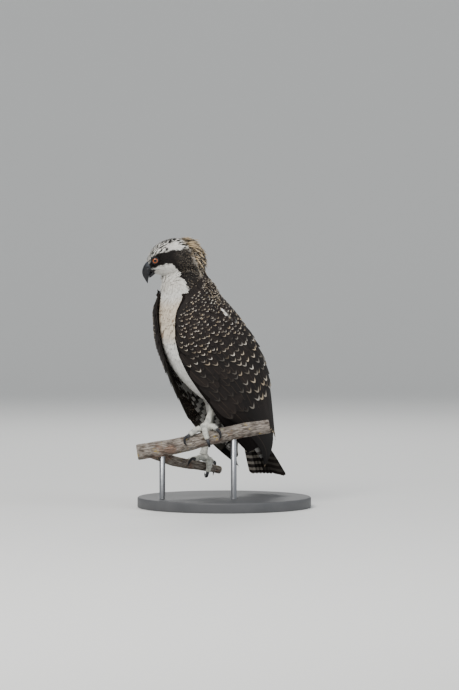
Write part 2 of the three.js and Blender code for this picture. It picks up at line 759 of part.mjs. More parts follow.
// Trunk and head, made whole and parted by thin cuts
const whole = join(trunkSolid(0), headSolid());
const body = cut(whole, ...wingTools, ...thighTools);
const HEAD_CUT_NORMAL = HEAD_UP.clone()
  .multiplyScalar(0.94)
  .addScaledVector(HEAD_FORWARD, -0.34)
  .normalize();
const headCut = HEAD_CUT_NORMAL.dot(head(-20, 0, -47));
const aboveHeadCut = body.trimByPlane(HEAD_CUT_NORMAL.toArray(), headCut + GAP / 2);
const belowHeadCut = body.trimByPlane(HEAD_CUT_NORMAL.clone().negate().toArray(), -headCut + GAP / 2);
const neckEdge = DOWN_BACK.dot(trunk(NECK_CUT, 0, 0));
const tailEdge = DOWN_BACK.dot(trunk(TAIL_CUT, 0, 0));
const upTrunk = DOWN_BACK.clone().negate();
const neck = largest(belowHeadCut.trimByPlane(upTrunk.toArray(), -neckEdge + GAP / 2));
const torso = largest(
  belowHeadCut
    .trimByPlane(DOWN_BACK.toArray(), neckEdge + GAP / 2)
    .trimByPlane(upTrunk.toArray(), -tailEdge + GAP / 2),
);
addSolid(bird, "neck", neck, looks.mixed);
addSolid(bird, "torso", torso, looks.mixed);
addSolid(bird, "tail", cut(tailSolid(TAIL_CUT + GAP / 2), ...wingTools), looks.dark);

// Head with its eyes and bill
const eyes = [[1, "left"], [-1, "right"]];
const eyePlaces = eyes.map(([side]) => head(EYE_PLACE[0], side * EYE_PLACE[1], EYE_PLACE[2]));
const sockets = eyePlaces.map((place) => ball(place, EYE_RADIUS + GAP, 12, 8));
const lids = eyes.map(([side]) => {
  const ring = new THREE.TorusGeometry(LID_RADIUS, LID_THICKNESS, 5, 14);
  const right = HEAD_LEFT.clone().multiplyScalar(-1);
  ring.applyMatrix4(new THREE.Matrix4().makeBasis(HEAD_FORWARD, HEAD_UP, right));
  const place = head(EYE_PLACE[0], side * (EYE_PLACE[1] + LID_REACH), EYE_PLACE[2]);
  return solidOf(ring.translate(place.x, place.y, place.z));
});
const mouths = eyes.map(([side]) => {
  const path = [head(28, side * 14.4, -2.2), head(34, side * 11.6, -2), head(44, side * 8, -1.6)];
  return limb(path, 4, 6, HEAD_LEFT, () => [3, 0.5]);
});
const underHead = HEAD_CUT_NORMAL.clone().negate().toArray();
const neckTool = trunkSolid(GAP + 0.1).trimByPlane(underHead, -headCut - GAP / 2);
const headWhole = join(aboveHeadCut, ...lids, ...napeVanes());
const headPart = cut(headWhole, ...sockets, ...mouths, billUpper(GAP), billLower(GAP), neckTool);
addSolid(bird, "head", headPart, looks.mixed);
eyes.forEach(([, name], i) => {
  addSolid(bird, `eye_${name}`, ball(eyePlaces[i], EYE_RADIUS, 12, 8), looks.eye);
});
const nostrils = eyes.map(([side]) => ball(head(48.5, side * 7.2, 6), 1.5, 8, 6));
addSolid(bird, "bill_upper", cut(billUpper(0), ...nostrils, ...sockets), looks.bill);
addSolid(bird, "bill_lower", cut(billLower(0), billUpper(GAP)), looks.bill);

// Legs, toes and claws
const grips = {
  left: { toes: LEFT_TOES, middle: PERCH_MIDDLE, along: PERCH_ALONG, radius: PERCH_RADIUS + 0.5 },
  right: { toes: RIGHT_TOES, middle: FORK_MIDDLE, along: FORK_ALONG, radius: FORK_RADIUS + 0.5 },
};
const perchTools = [perchLimb(GAP + 0.05), perchFork(GAP + 0.05)];
wings.forEach(([side, name]) => {
  const grip = grips[name];
  const palm = ball(gripPoint(grip.middle, grip.along, 0, 0, grip.radius + 7.2), 8.2, 12, 8);
  const palmTool = ball(gripPoint(grip.middle, grip.along, 0, 0, grip.radius + 7.2), 8.2 + GAP, 12, 8);
  const shank = cut(join(tarsus(side), palm), thigh(side, GAP), ...perchTools);
  addSolid(bird, `tarsus_${name}`, shank, looks.foot);
  for (const [toeName, { toe, claw }] of Object.entries(grip.toes)) {
    const clawTool = clawSolid(claw, grip.middle, grip.along, grip.radius, GAP);
    const toePart = toeSolid(toe, grip.middle, grip.along, grip.radius);
    const clearToe = cut(toePart, palmTool, tarsus(side), clawTool, ...perchTools);
    addSolid(bird, `toe_${name}_${toeName}`, clearToe, looks.foot);
    const clawPart = cut(clawSolid(claw, grip.middle, grip.along, grip.radius, 0), ...perchTools);
    addSolid(bird, `claw_${name}_${toeName}`, clawPart, looks.claw);
  }
});

// Perch
addSolid(bird, "perch_limb", perchLimb(0), looks.bark);
addSolid(bird, "perch_fork", cut(perchFork(0), perchLimb(GAP + 0.05)), looks.bark);

// Stand
const baseProfile = [
  [0, 0], [BASE_RADIUS - 2, 0], [BASE_RADIUS, 2], [BASE_RADIUS, BASE_THICKNESS - 3],
  [BASE_RADIUS - 3, BASE_THICKNESS], [0, BASE_THICKNESS],
].map(([x, y]) => new THREE.Vector2(x, y));
const base = new THREE.LatheGeometry(baseProfile, 36).rotateX(Math.PI / 2);
addSolid(model, "stand_base", solidOf(base), looks.base);
ROD_STATIONS.forEach((station, i) => {
  const top = PERCH_MIDDLE.clone().addScaledVector(PERCH_ALONG, station).add(PERCH_LIFT);
  const bottom = BASE_THICKNESS + GAP;
  const rod = new THREE.CylinderGeometry(ROD_RADIUS, ROD_RADIUS, top.z - bottom, 20).rotateX(Math.PI / 2);
  rod.translate(top.x, top.y, (top.z + bottom) / 2);
  const tools = perchTools.map((tool) => tool.translate(PERCH_LIFT.toArray()));
  addSolid(model, `stand_rod_${i + 1}`, cut(solidOf(rod), ...tools), looks.rod);
});

export default model;
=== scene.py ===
"""Looks of a life-size juvenile osprey on a forked length of branch, held by a plain stand.

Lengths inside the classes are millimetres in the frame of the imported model, and meshes are
written in metres. The bird is laid out in perch space, which is lifted onto the stand.
"""

import logging
import math
from dataclasses import dataclass, field
from enum import Enum
from itertools import product
from typing import Any, Callable, Optional, Sequence, Union

import bpy
import numpy as np
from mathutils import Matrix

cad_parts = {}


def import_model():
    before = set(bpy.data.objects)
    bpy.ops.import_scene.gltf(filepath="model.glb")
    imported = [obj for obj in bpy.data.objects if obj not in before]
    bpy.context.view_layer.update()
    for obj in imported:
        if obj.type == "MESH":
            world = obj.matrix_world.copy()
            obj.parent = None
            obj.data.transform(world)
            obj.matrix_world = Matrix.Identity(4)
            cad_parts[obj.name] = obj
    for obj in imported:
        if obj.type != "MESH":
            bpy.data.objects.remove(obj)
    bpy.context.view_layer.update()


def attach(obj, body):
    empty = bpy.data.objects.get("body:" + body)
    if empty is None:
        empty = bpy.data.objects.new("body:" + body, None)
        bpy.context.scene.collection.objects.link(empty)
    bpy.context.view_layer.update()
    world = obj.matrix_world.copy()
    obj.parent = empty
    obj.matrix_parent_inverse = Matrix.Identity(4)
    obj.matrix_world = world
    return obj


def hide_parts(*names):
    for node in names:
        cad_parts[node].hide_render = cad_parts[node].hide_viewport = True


Array = np.ndarray
Material = bpy.types.Material
Level = Union[float, Array]
Pair = tuple[Array, Array]
Triple = tuple[float, float, float]
Sizes = tuple[Array, Array, Array]
Rows = Sequence[Sequence[float]]
Colour = Triple
Number = Union[float, "Value"]

LOG = logging.getLogger("osprey")
DEGREE = math.pi / 180
TURN = 2 * math.pi
# From perch space to the stand, in millimetres
LIFT = np.array([-6.0, -36.0, 112.0])
METRE, MILLIMETRES = 0.001, 1000
# Size of one feather's patch on the map OFBake
PATCH = 0.003
BLACK = (0.0, 0.0, 0.0)
# Middle of the left eye in head space, and the radius of both
EYE_PLACE = (31.5, 12.0, 12.4)
EYE_RADIUS = 8.4
# How deep the head's and the trunk's surfaces run together
NECK_JOIN = 13
# Millimetres to either side for a slope, and how places are moved onto a surface
PROBE, DAMPING, STEPS_ONTO = 1.5, 0.85, 5
# Station of head space in the hollow behind the head
HOLLOW = -50.0
# Stations of a wing's front, and of its last full section on the inner and the outer face
WING_FRONT, INNER_END, OUTER_END = -104, 206, 250
# Least millimetres that one share of a wing counts for, and the share of a width between coverts
LEAST_STRETCH, OVERLAP = 45, 0.66


class Side(Enum):
    """The bird's own left or right."""

    LEFT = 1
    RIGHT = -1

    @property
    def label(self) -> str:
        """Name of the side as the model's nodes spell it."""
        return self.name.lower()


class Tip(Enum):
    """How a feather ends: where its rounding starts and the power of its curve."""

    ROUND = (0.62, 2.0)
    BLUNT = (0.82, 2.2)
    POINTED = (0.18, 1.5)
    FINE = (0.4, 1.7)


# ---- Curves, spaces and surfaces ----


class Table:
    """Smooth curve through rows of numbers, each led by the station it belongs to."""

    def __init__(self, rows: Rows) -> None:
        """Work out the slope at each row from the rows beside it.

        Args:
            rows: Station followed by its numbers, in order of station.
        """
        data = np.array(rows, dtype=float)
        self.station, self.data = data[:, 0], data[:, 1:]
        before = np.maximum(np.arange(len(data)) - 1, 0)
        after = np.minimum(np.arange(len(data)) + 1, len(data) - 1)
        span = (self.station[after] - self.station[before])[:, None]
        self.slope = (self.data[after] - self.data[before]) / span

    def __call__(self, station: Array) -> Array:
        """Cubic curve between the two rows beside each station, level beyond the ends.

        Args:
            station: Any shape of stations.

        Returns:
            The numbers of each station along a new first axis.
        """
        s = np.clip(np.asarray(station, dtype=float), self.station[0], self.station[-1])
        i = np.clip(np.searchsorted(self.station, s) - 1, 0, len(self.station) - 2)
        step = self.station[i + 1] - self.station[i]
        k = ((s - self.station[i]) / step)[..., None]
        rise = (3 - 2 * k) * k * k
        start = k * (1 - k) ** 2 * step[..., None] * self.slope[i]
        end = k * k * (k - 1) * step[..., None] * self.slope[i + 1]
        out = self.data[i] * (1 - rise) + self.data[i + 1] * rise + start + end
        return np.moveaxis(out, -1, 0)


def unit(vectors: Array) -> Array:
    """Vectors of length one along the last axis."""
    return vectors / np.maximum(np.linalg.norm(vectors, axis=-1, keepdims=True), 1e-9)


def smooth(low: float, high: float, values: Array) -> Array:
    """Ease from 0 at low to 1 at high: three k squared less two k cubed."""
    k = np.clip((values - low) / (high - low), 0, 1)
    return k * k * (3 - 2 * k)


def dot(first: Array, second: Array) -> Array:
    """Dot product along the last axis, kept as an axis of one."""
    return np.sum(first * second, axis=-1, keepdims=True)


def ripple(points: Array, pitch: float, seed: int, waves: int = 7) -> Array:
    """Soft noise from -1 to 1: a mean of sine waves that run in random directions.

    Args:
        points: Places in millimetres, any shape ending in 3.
        pitch: Rough distance between crests.
        seed: Seed of the directions and phases.
        waves: How many waves are added.

    Returns:
        One value for each place.
    """
    rng = np.random.default_rng(seed)
    runs = unit(rng.normal(size=(waves, 3))) * (TURN / pitch)
    runs = runs * rng.uniform(0.7, 1.5, (waves, 1))
    phase = rng.uniform(0, TURN, waves)
    return np.sin(points @ runs.T + phase).sum(axis=-1) / math.sqrt(2.2 * waves)


def circle(count: int) -> Array:
    """Angles evenly round a circle, the last one short of the first."""
    return np.linspace(0, TURN, count, endpoint=False)


def column(values: Level) -> Array:
    """One number for each feather, or one for all, ready to meet rows and columns."""
    return np.asarray(values)[..., None, None]


@dataclass(frozen=True)
class Space:
    """A set of axes in perch space."""

    origin: Triple
    axes: tuple[Triple, ...]

    def place(self, *along: Array) -> Array:
        """Perch-space places of coordinates along the three axes."""
        spread = np.stack(np.broadcast_arrays(*along), axis=-1)
        return np.array(self.origin) + spread @ np.array(self.axes)

    def locate(self, places: Array) -> Array:
        """Coordinates of places along the three axes, on a new first axis."""
        return np.moveaxis((places - np.array(self.origin)) @ np.array(self.axes).T, -1, 0)


def head_axes(yaw: float, pitch: float) -> tuple[Triple, ...]:
    """Forward, left and up axes of a head that is turned and bowed.

    Args:
        yaw: Turn to the left in radians.
        pitch: Bow in radians.

    Returns:
        The three axes.
    """
    level = math.cos(pitch)
    forward = np.array([-math.sin(yaw) * level, -math.cos(yaw) * level, -math.sin(pitch)])
    left = np.array([math.cos(yaw), -math.sin(yaw), 0.0])
    return tuple(tuple(axis) for axis in (forward, left, np.cross(forward, left)))


TILT = 58.5 * DEGREE
TRUNK = Space(
    (0, -8.5, 177),
    ((0, math.cos(TILT), -math.sin(TILT)), (1, 0, 0), (0, math.sin(TILT), math.cos(TILT))),
)
HEAD = Space((-13.9, -66.8, 318), head_axes(33 * DEGREE, 27 * DEGREE))
DOWN_BACK, TO_LEFT, TO_BACK = (np.array(axis) for axis in TRUNK.axes)
FORWARD, HEAD_LEFT, HEAD_UP = (np.array(axis) for axis in HEAD.axes)


@dataclass(frozen=True)
class Oval:
    """A surface of oval sections along the first axis of a space."""

    space: Space
    sizes: Table
    ends: tuple[float, float]

    def section(self, station: Array) -> tuple[Array, Array, Array, Array]:
        """Half width, middle, half depth and sideways shift of the section at a station."""
        half, low, high, shift = self.sizes(station)
        return half, (low + high) / 2, (high - low) / 2, shift

    def point(self, station: Array, angle: Array, height: Array) -> Array:
        """Place at an angle from the back or crown, growing to the left, and a height off it.

        Args:
            station: Station along the oval.
            angle: Angle in radians.
            height: Height over the surface.

        Returns:
            The place.
        """
        half, middle, depth, shift = self.section(station)
        across = shift + (half + height) * np.sin(angle)
        return self.space.place(station, across, middle + (depth + height) * np.cos(angle))

    def girth(self, station: float) -> float:
        """Rough length round the section at a station."""
        half, _, depth, _ = self.section(station)
        return math.pi * (half + depth)

    def distance(self, places: Array) -> Array:
        """Distance off the oval along the line to its middle, joined with the reach past its ends.

        Args:
            places: Perch-space places.

        Returns:
            One distance for each, below 0 inside.
        """
        station, across, up = self.space.locate(places)
        half, middle, depth, shift = self.section(station)
        across, up = across - shift, up - middle
        reach = np.maximum(np.hypot(across / half, up / depth), 1e-3)
        side = np.hypot(across, up) * (1 - 1 / reach)
        past = np.maximum(station - self.ends[1], self.ends[0] - station)
        return np.where(past > 0, np.hypot(np.maximum(side, 0), past), side)


# Rows of station, half width, front or underside, back or crown, and sideways shift
TRUNK_OVAL = Oval(TRUNK, Table([
    [-137, 10, 4, 30, -13], [-134, 20, -6, 38, -12], [-128, 30, -14, 45, -10],
    [-112, 36, -25, 51, -5], [-92, 41, -44, 52, -1], [-75, 47, -56, 53, 0],
    [-50, 57, -66, 53, 0], [-20, 64, -71, 61, 0], [20, 66, -68, 66, 0], [60, 62, -57, 70, 0],
    [100, 54, -38, 66, 0], [135, 43, -20, 54, 0], [165, 33, -6, 41, 0], [196, 24, 5, 30, 0],
]), (-137, 196))
HEAD_OVAL = Oval(HEAD, Table([
    [-46, 10, -22, 2, 0], [-42, 20, -36, 12, 0], [-34, 26, -46, 19.5, 0],
    [-20, 29.5, -48, 27.5, 0], [-5, 29.5, -42, 33, 0], [10, 27, -34, 34, 0],
    [23, 23, -25, 32, 0], [33, 18, -15, 27, 0], [41, 12.5, -8.5, 21, 0], [46, 9, -4, 15.5, 0],
]), (-46, 46))
# Rows of station, x and n of the section's four control points, and depth
WING_SIZE = Table([
    [-104, 33, -30, 42, -22, 46, 14, 32, 29, 8], [-90, 27, -50, 54, -40, 58, 26, 22, 45, 12],
    [-70, 22, -63, 64, -50, 74, 34, 12, 55, 14], [-40, 20, -76, 80, -54, 90, 52, 6, 63, 14],
    [0, 22, -82, 88, -50, 96, 64, 4, 72, 13], [40, 28, -81, 87, -42, 97, 73, 4, 81, 12],
    [85, 36, -75, 83, -34, 90, 75, 5, 84, 10], [130, 38, -68, 76, -24, 80, 64, 6, 75, 8],
    [170, 37, -54, 64, -16, 66, 52, 8, 60, 6], [205, 34, -39, 52, -13, 52, 40, 12, 46, 5],
    [232, 30, -27, 41, -13, 42, 20, 24, 30, 4], [252, 26, -20, 29, -16, 30, -8, 27, -4, 3],
])


def body_distance(places: Array) -> Array:
    """Height of places over the head and trunk, whose surfaces run together softly at the neck.

    Args:
        places: Places.

    Returns:
        Their heights.
    """
    on_head, on_trunk = HEAD_OVAL.distance(places), TRUNK_OVAL.distance(places)
    share = np.clip(0.5 + 0.5 * (on_trunk - on_head) / NECK_JOIN, 0, 1)
    return on_trunk * (1 - share) + on_head * share - NECK_JOIN * share * (1 - share) * 0.5


def body_normal(places: Array) -> Array:
    """Outward direction: the slope of the height between places a probe to either side.

    Args:
        places: Places.

    Returns:
        Unit directions.
    """
    steps = np.eye(3) * PROBE
    slope = [body_distance(places + step) - body_distance(places - step) for step in steps]
    return unit(np.stack(slope, axis=-1))


def onto_body(places: Array) -> Array:
    """Places moved along the slope in damped steps until they lie on the body's surface.

    Args:
        places: Places.

    Returns:
        The moved places.
    """
    for _ in range(STEPS_ONTO):
        places = places - DAMPING * body_distance(places)[..., None] * body_normal(places)
    return places


def body_lie(places: Array) -> Array:
    """Direction in which feathers lie: back over the head, then down the neck and trunk.

    Args:
        places: Places.

    Returns:
        Unit directions.
    """
    f, _, v = HEAD.locate(places)
    l, _, _ = TRUNK.locate(places)
    turn = np.maximum(smooth(4, 42, -f), smooth(18, 44, -v))[..., None]
    turn = np.maximum(turn, smooth(-118, -96, l)[..., None])
    over_head = -FORWARD - 0.22 * HEAD_UP
    return unit(over_head * (1 - turn) + DOWN_BACK * turn)


@dataclass(frozen=True)
class WingSurface:
    """Outer face of a folded wing: station l down the back and share t from its lower edge."""

    side: Side

    def point(self, l: Array, t: Array, height: Array) -> Array:
        """Cubic curve through the four control points of the section, raised by the height.

        Args:
            l: Stations down the wing.
            t: Shares across it.
            height: Height over the face.

        Returns:
            The places.
        """
        x0, n0, x1, n1, x2, n2, x3, n3, _ = WING_SIZE(l)
        a, b, c, d = (1 - t) ** 3, 3 * t * (1 - t) ** 2, 3 * t * t * (1 - t), t**3
        run = self._run(l, t)
        far = np.maximum(np.hypot(*run), 1e-6)
        x = a * x0 + b * x1 + c * x2 + d * x3 + height * run[1] / far
        n = a * n0 + b * n1 + c * n2 + d * n3 - height * run[0] / far
        return TRUNK.place(l, self.side.value * x, n)

    def _run(self, l: Array, t: Array) -> Pair:
        """How x and n change with t.

        Args:
            l: Stations down the wing.
            t: Shares across it.

        Returns:
            Both rates.
        """
        x0, n0, x1, n1, x2, n2, x3, n3, _ = WING_SIZE(l)
        a, b, c = 3 * (1 - t) ** 2, 6 * t * (1 - t), 3 * t * t
        x = a * (x1 - x0) + b * (x2 - x1) + c * (x3 - x2)
        return x, a * (n1 - n0) + b * (n2 - n1) + c * (n3 - n2)

    def stretch(self, l: Array, t: Array) -> Array:
        """Millimetres of surface for one whole share t."""
        return np.hypot(*self._run(l, t))

    @staticmethod
    def thickness(l: Array, t: Array) -> Array:
        """Depth of the wing from outer to inner face."""
        full = np.minimum(1, 0.16 + 1.5 * np.sqrt(np.clip(t * (1 - t), 0, 1)))
        return WING_SIZE(l)[8] * full


# ---- Shader building ----


def joined_by(operation: str) -> Callable[["Value", Number], "Value"]:
    """Method that joins a value and another in a Math node.

    Args:
        operation: Name of the operation.

    Returns:
        The method.
    """

    def method(self: "Value", other: Number) -> "Value":
        """The value joined with the other."""
        return self.graph.maths(operation, self, other)

    return method


class Value:
    """A socket of a node tree, on which maths is written as ordinary expressions."""

    def __init__(self, graph: "Graph", socket: bpy.types.NodeSocket) -> None:
        """Keep the socket and the tree that it belongs to."""
        self.graph, self.socket = graph, socket

    def __rsub__(self, other: float) -> "Value":
        """Difference from a plain number."""
        return self.graph.maths("SUBTRACT", other, self)

    __add__, __sub__, __mul__ = (joined_by(name) for name in ("ADD", "SUBTRACT", "MULTIPLY"))
    __truediv__, __pow__, most = (joined_by(name) for name in ("DIVIDE", "POWER", "MAXIMUM"))
    __radd__ = __add__
    __rmul__ = __mul__

    def ease(self, low: float, high: float) -> "Value":
        """Ease from 0 at low to 1 at high."""
        inputs = {0: self, 1: low, 2: high, 3: 0.0, 4: 1.0}
        return self.graph.value("ShaderNodeMapRange", inputs, interpolation_type="SMOOTHSTEP")

    def apart(self, other: Number) -> "Value":
        """Distance from another value, without its sign."""
        return self.graph.maths("ABSOLUTE", self - other)

    def wave(self) -> "Value":
        """Sine of an angle in radians."""
        return self.graph.maths("SINE", self)


class Graph:
    """The node tree of one material."""

    def __init__(self, name: str) -> None:
        """Start an empty material.

        Args:
            name: Name of the material.
        """
        self.material = bpy.data.materials.new(name)
        self.material.use_nodes = True
        self.tree = self.material.node_tree
        self.tree.nodes.clear()

    def node(self, kind: str, inputs: dict[Any, Any], **settings: Any) -> bpy.types.Node:
        """Add a node of any type.

        Args:
            kind: Blender's name of the node type.
            inputs: Values or links by the name or number of the socket.
            **settings: Properties that are set first; stops sets the stops of a ramp.

        Returns:
            The new node.
        """
        node = self.tree.nodes.new(kind)
        for key, setting in settings.items():
            if key == "stops":
                self._stops(node.color_ramp, setting)
            else:
                setattr(node, key, setting)
        for key, value in inputs.items():
            if isinstance(value, Value):
                self.tree.links.new(value.socket, node.inputs[key])
            else:
                node.inputs[key].default_value = value
        return node

    def value(self, kind: str, inputs: dict[Any, Any], output: Any = 0, **settings: Any) -> Value:
        """One output, by name or number, of a new node."""
        return Value(self, self.node(kind, inputs, **settings).outputs[output])

    @staticmethod
    def _stops(ramp: bpy.types.ColorRamp, stops: Sequence[tuple[float, Colour]]) -> None:
        """Give a ramp its stops, in order of place.

        Args:
            ramp: The ramp.
            stops: Place and colour of each.
        """
        while len(ramp.elements) < len(stops):
            ramp.elements.new(0.5)
        for element, (place, colour) in zip(ramp.elements, stops):
            element.position = place
            element.color = (*colour, 1)

    def maths(self, operation: str, *values: Number) -> Value:
        """A Math node on the values."""
        return self.value("ShaderNodeMath", dict(enumerate(values)), operation=operation)

    def vectors(self, operation: str, *vectors: Any, output: Any = 0) -> Value:
        """A Vector Math node on the vectors."""
        inputs = dict(enumerate(vectors))
        return self.value("ShaderNodeVectorMath", inputs, output, operation=operation)

    def mix(self, factor: Number, first: Any, second: Any) -> Value:
        """Colour between two colours, by the factor."""
        inputs = {0: factor, 6: full(first), 7: full(second)}
        return self.value("ShaderNodeMix", inputs, 2, data_type="RGBA")

    def ramp(self, factor: Value, stops: Sequence[tuple[float, Colour]]) -> Value:
        """Colour along a ramp."""
        return self.value("ShaderNodeValToRGB", {0: factor}, stops=stops)

    def attribute(self, name: str) -> tuple[Value, Value]:
        """Colour and alpha of one of the piece's own attributes."""
        node = self.node("ShaderNodeAttribute", {}, attribute_name=name)
        return Value(self, node.outputs["Color"]), Value(self, node.outputs["Alpha"])

    def recess_shade(self) -> Value:
        """Painted shade from 0 to 1, darkest in pits and furrows, that the piece's own attribute
        holds.
        """
        return self.value("ShaderNodeSeparateColor", {0: self.attribute("recess_shade")[0]})

    def chart(self, name: str) -> tuple[Value, Value]:
        """The two coordinates of one of the piece's own UV maps.

        Args:
            name: Name of the map.

        Returns:
            Both coordinates.
        """
        chart = self.value("ShaderNodeUVMap", {}, uv_map=name)
        parts = self.node("ShaderNodeSeparateXYZ", {0: chart})
        return Value(self, parts.outputs[0]), Value(self, parts.outputs[1])

    def place(self) -> Value:
        """Object coordinates."""
        return self.value("ShaderNodeTexCoord", {}, "Object")

    def noise(
        self, scale: float, detail: float, rough: float = 0.55, vector: Optional[Value] = None
    ) -> Value:
        """Noise from 0 to 1, over Object coordinates unless another vector is given."""
        inputs = {"Vector": vector or self.place(), "Scale": scale, "Detail": detail}
        return self.value("ShaderNodeTexNoise", inputs | {"Roughness": rough})

    def cells(self, vector: Value, scale: float) -> Value:
        """Distance to the edge of random cells."""
        inputs = {"Vector": vector, "Scale": scale}
        return self.value("ShaderNodeTexVoronoi", inputs, "Distance", feature="DISTANCE_TO_EDGE")

    def stretched(self, scale: Triple) -> Value:
        """Object coordinates, scaled along each axis."""
        inputs = {"Vector": self.place(), "Scale": scale}
        return self.value("ShaderNodeMapping", inputs, vector_type="TEXTURE")

    def finish(
        self, base: Any, roughness: Number, height: Optional[Value] = None, depth: float = 0.0002,
        **constants: float,
    ) -> Material:
        """Close the material with one Principled surface.

        Args:
            base: Colour, plain or worked out.
            roughness: Roughness, plain or worked out.
            height: Surface relief from 0 to 1, or none.
            depth: Metres between the lowest and highest relief.
            **constants: Other sockets, by name with _ for a space.

        Returns:
            The finished material.
        """
        inputs: dict[Any, Any] = {"Base Color": full(base), "Roughness": roughness}
        inputs.update({key.replace("_", " "): value for key, value in constants.items()})
        if height is not None:
            relief = {"Height": height, "Strength": 1.0, "Distance": depth}
            inputs["Normal"] = self.value("ShaderNodeBump", relief)
        surface = self.value("ShaderNodeBsdfPrincipled", inputs)
        self.node("ShaderNodeOutputMaterial", {0: surface})
        return self.material


def full(colour: Any) -> Any:
    """A plain colour with an alpha of 1; anything else is left as it is."""
    return (*colour, 1.0) if isinstance(colour, tuple) and len(colour) == 3 else colour


def tone(red: int, green: int, blue: int) -> Colour:
    """Linear colour of 8-bit screen values.

    Args:
        red: Red, 0 to 255.
        green: Green.
        blue: Blue.

    Returns:
        The colour.
    """

    def linear(level: int) -> float:
        """Linear share of one 8-bit level."""
        share = level / 255
        return share / 12.92 if share <= 0.04045 else ((share + 0.055) / 1.055) ** 2.4

    return linear(red), linear(green), linear(blue)


# ---- Finishes ----


@dataclass(frozen=True)
class FeatherFinish:
    """Feather web: base and edge colours from attributes, barbs and shaft along each vane."""

    name: str
    barbs: float = 34.0
    shaft: Colour = tone(70, 58, 48)
    shaft_strength: float = 0.35
    bars: float = 0.0
    rim: tuple[float, float] = (0.925, 0.95)
    hook: float = 0.24
    spread: float = 0.78
    roughness: float = 0.72

    def material(self) -> Material:
        """Mix edge over base near the rim and tip, then darken between the barbs.

        Returns:
            The feather material.
        """
        graph = Graph(self.name)
        across, along = graph.chart("vane")
        plume, barred = graph.attribute("plume")
        edge, strength = graph.attribute("edge")
        grain = graph.noise(420.0, 2.0)
        off_shaft = (across * 2 - 1).apart(0.0)
        waver = (grain - 0.5) * 0.12
        rim = along + off_shaft * off_shaft * self.hook + waver * (1 - self.rim[0]) * 3
        rim = rim.ease(*self.rim)
        rim = rim * (1 - (off_shaft + waver * 2).ease(self.spread - 0.3, self.spread))
        colour = graph.mix(rim * strength, plume, edge)
        if self.bars > 0:
            band = along * (self.bars * TURN) + off_shaft * 0.9 + waver * 8
            colour = graph.mix(band.wave().ease(-0.1, 0.45) * barred, colour, edge)
        barb = along * (self.barbs * TURN) + off_shaft * 9.0 + grain * 3.0
        barb = barb.wave() * 0.5 + 0.5
        colour = graph.mix(barb * 0.2 + (1 - grain) * 0.22, colour, BLACK)
        rib = 1 - off_shaft.ease(0.03, 0.09)
        colour = graph.mix(rib * self.shaft_strength, colour, self.shaft)
        relief = barb * 0.4 + rib * 0.6
        roughness = grain * 0.12 + (self.roughness - 0.06)
        return graph.finish(colour, roughness, relief, 0.00012, Specular_IOR_Level=0.22)


@dataclass(frozen=True)
class DownFinish:
    """Skin under the coat: the same markings as the feathers, roughened like down."""

    name: str

    def material(self) -> Material:
        """Attribute colour broken by noise.

        Returns:
            The material.
        """
        graph = Graph(self.name)
        plume, _ = graph.attribute("plume")
        fluff = graph.noise(520.0, 4.0)
        colour = graph.mix((1 - fluff) * 0.5, plume, BLACK)
        return graph.finish(colour, 0.9, fluff, 0.0006, Specular_IOR_Level=0.1)


@dataclass(frozen=True)
class EyeFinish:
    """Wet eye: black pupil, orange iris with fine spokes, dark rim."""

    name: str
    centre: Triple
    axis: Triple
    pupil: float = 2.4
    iris: float = 4.5
    radius: float = EYE_RADIUS

    def material(self) -> Material:
        """Colour by the distance from the eye's axis.

        Returns:
            The eye material.
        """
        graph = Graph(self.name)
        ray = graph.vectors("NORMALIZE", graph.vectors("SUBTRACT", graph.place(), self.centre))
        cosine = graph.vectors("DOT_PRODUCT", ray, self.axis, output="Value")
        sine = (1 - cosine * cosine).most(0.0) ** 0.5
        reach = sine * self.radius
        spokes = graph.noise(26.0, 2.0, vector=ray)
        ring = (reach - self.pupil) / (self.iris - self.pupil)
        stops = [
            (0.0, tone(70, 30, 10)),
            (0.35, tone(176, 92, 28)),
            (0.7, tone(142, 66, 22)),
            (1.0, tone(34, 18, 10)),
        ]
        iris = graph.mix((1 - spokes) * 0.55, graph.ramp(ring, stops), tone(96, 34, 6))
        opened = reach.ease(self.pupil - 0.12, self.pupil + 0.12)
        colour = graph.mix(opened, (0.002, 0.002, 0.003), iris)
        rim = reach.ease(self.iris - 0.25, self.iris + 0.2)
        colour = graph.mix(rim, colour, (0.006, 0.005, 0.005))
        wet = {"Coat_Weight": 0.35, "Coat_Roughness": 0.02, "Specular_IOR_Level": 0.3}
        return graph.finish(colour, 0.12, **wet)


@dataclass(frozen=True)
class HornFinish:
    """Bill and claws: smooth dark horn, paler and waxy towards its root."""

    name: str
    tip: Colour
    root: Colour
    root_edge: tuple[float, float]
    roughness: float = 0.3

    def material(self) -> Material:
        """Root colour fades to tip colour along the piece, with faint growth lines.

        Returns:
            The material.
        """
        graph = Graph(self.name)
        along, _ = graph.chart("run")
        cloud = graph.noise(260.0, 4.0)
        grain = graph.noise(1500.0, 3.0)
        share = (along + (cloud - 0.5) * 0.08).ease(*self.root_edge)
        colour = graph.mix(share, self.root, self.tip)
        colour = graph.mix((cloud - 0.35).most(0.0) * 0.4, colour, tone(70, 74, 82))
        # Painted shade: the nostril pits are darkened almost to black
        colour = graph.mix(graph.recess_shade() * 0.92, colour, (0.004, 0.004, 0.005))
        lines = (along * 260 + cloud * 9).wave() * 0.5 + 0.5
        roughness = grain * 0.16 + (self.roughness - 0.04) + (1 - share) * 0.14
        relief = lines * 0.25 + cloud * 0.5 + grain * 0.3
        return graph.finish(colour, roughness, relief, 0.0001, Specular_IOR_Level=0.35)


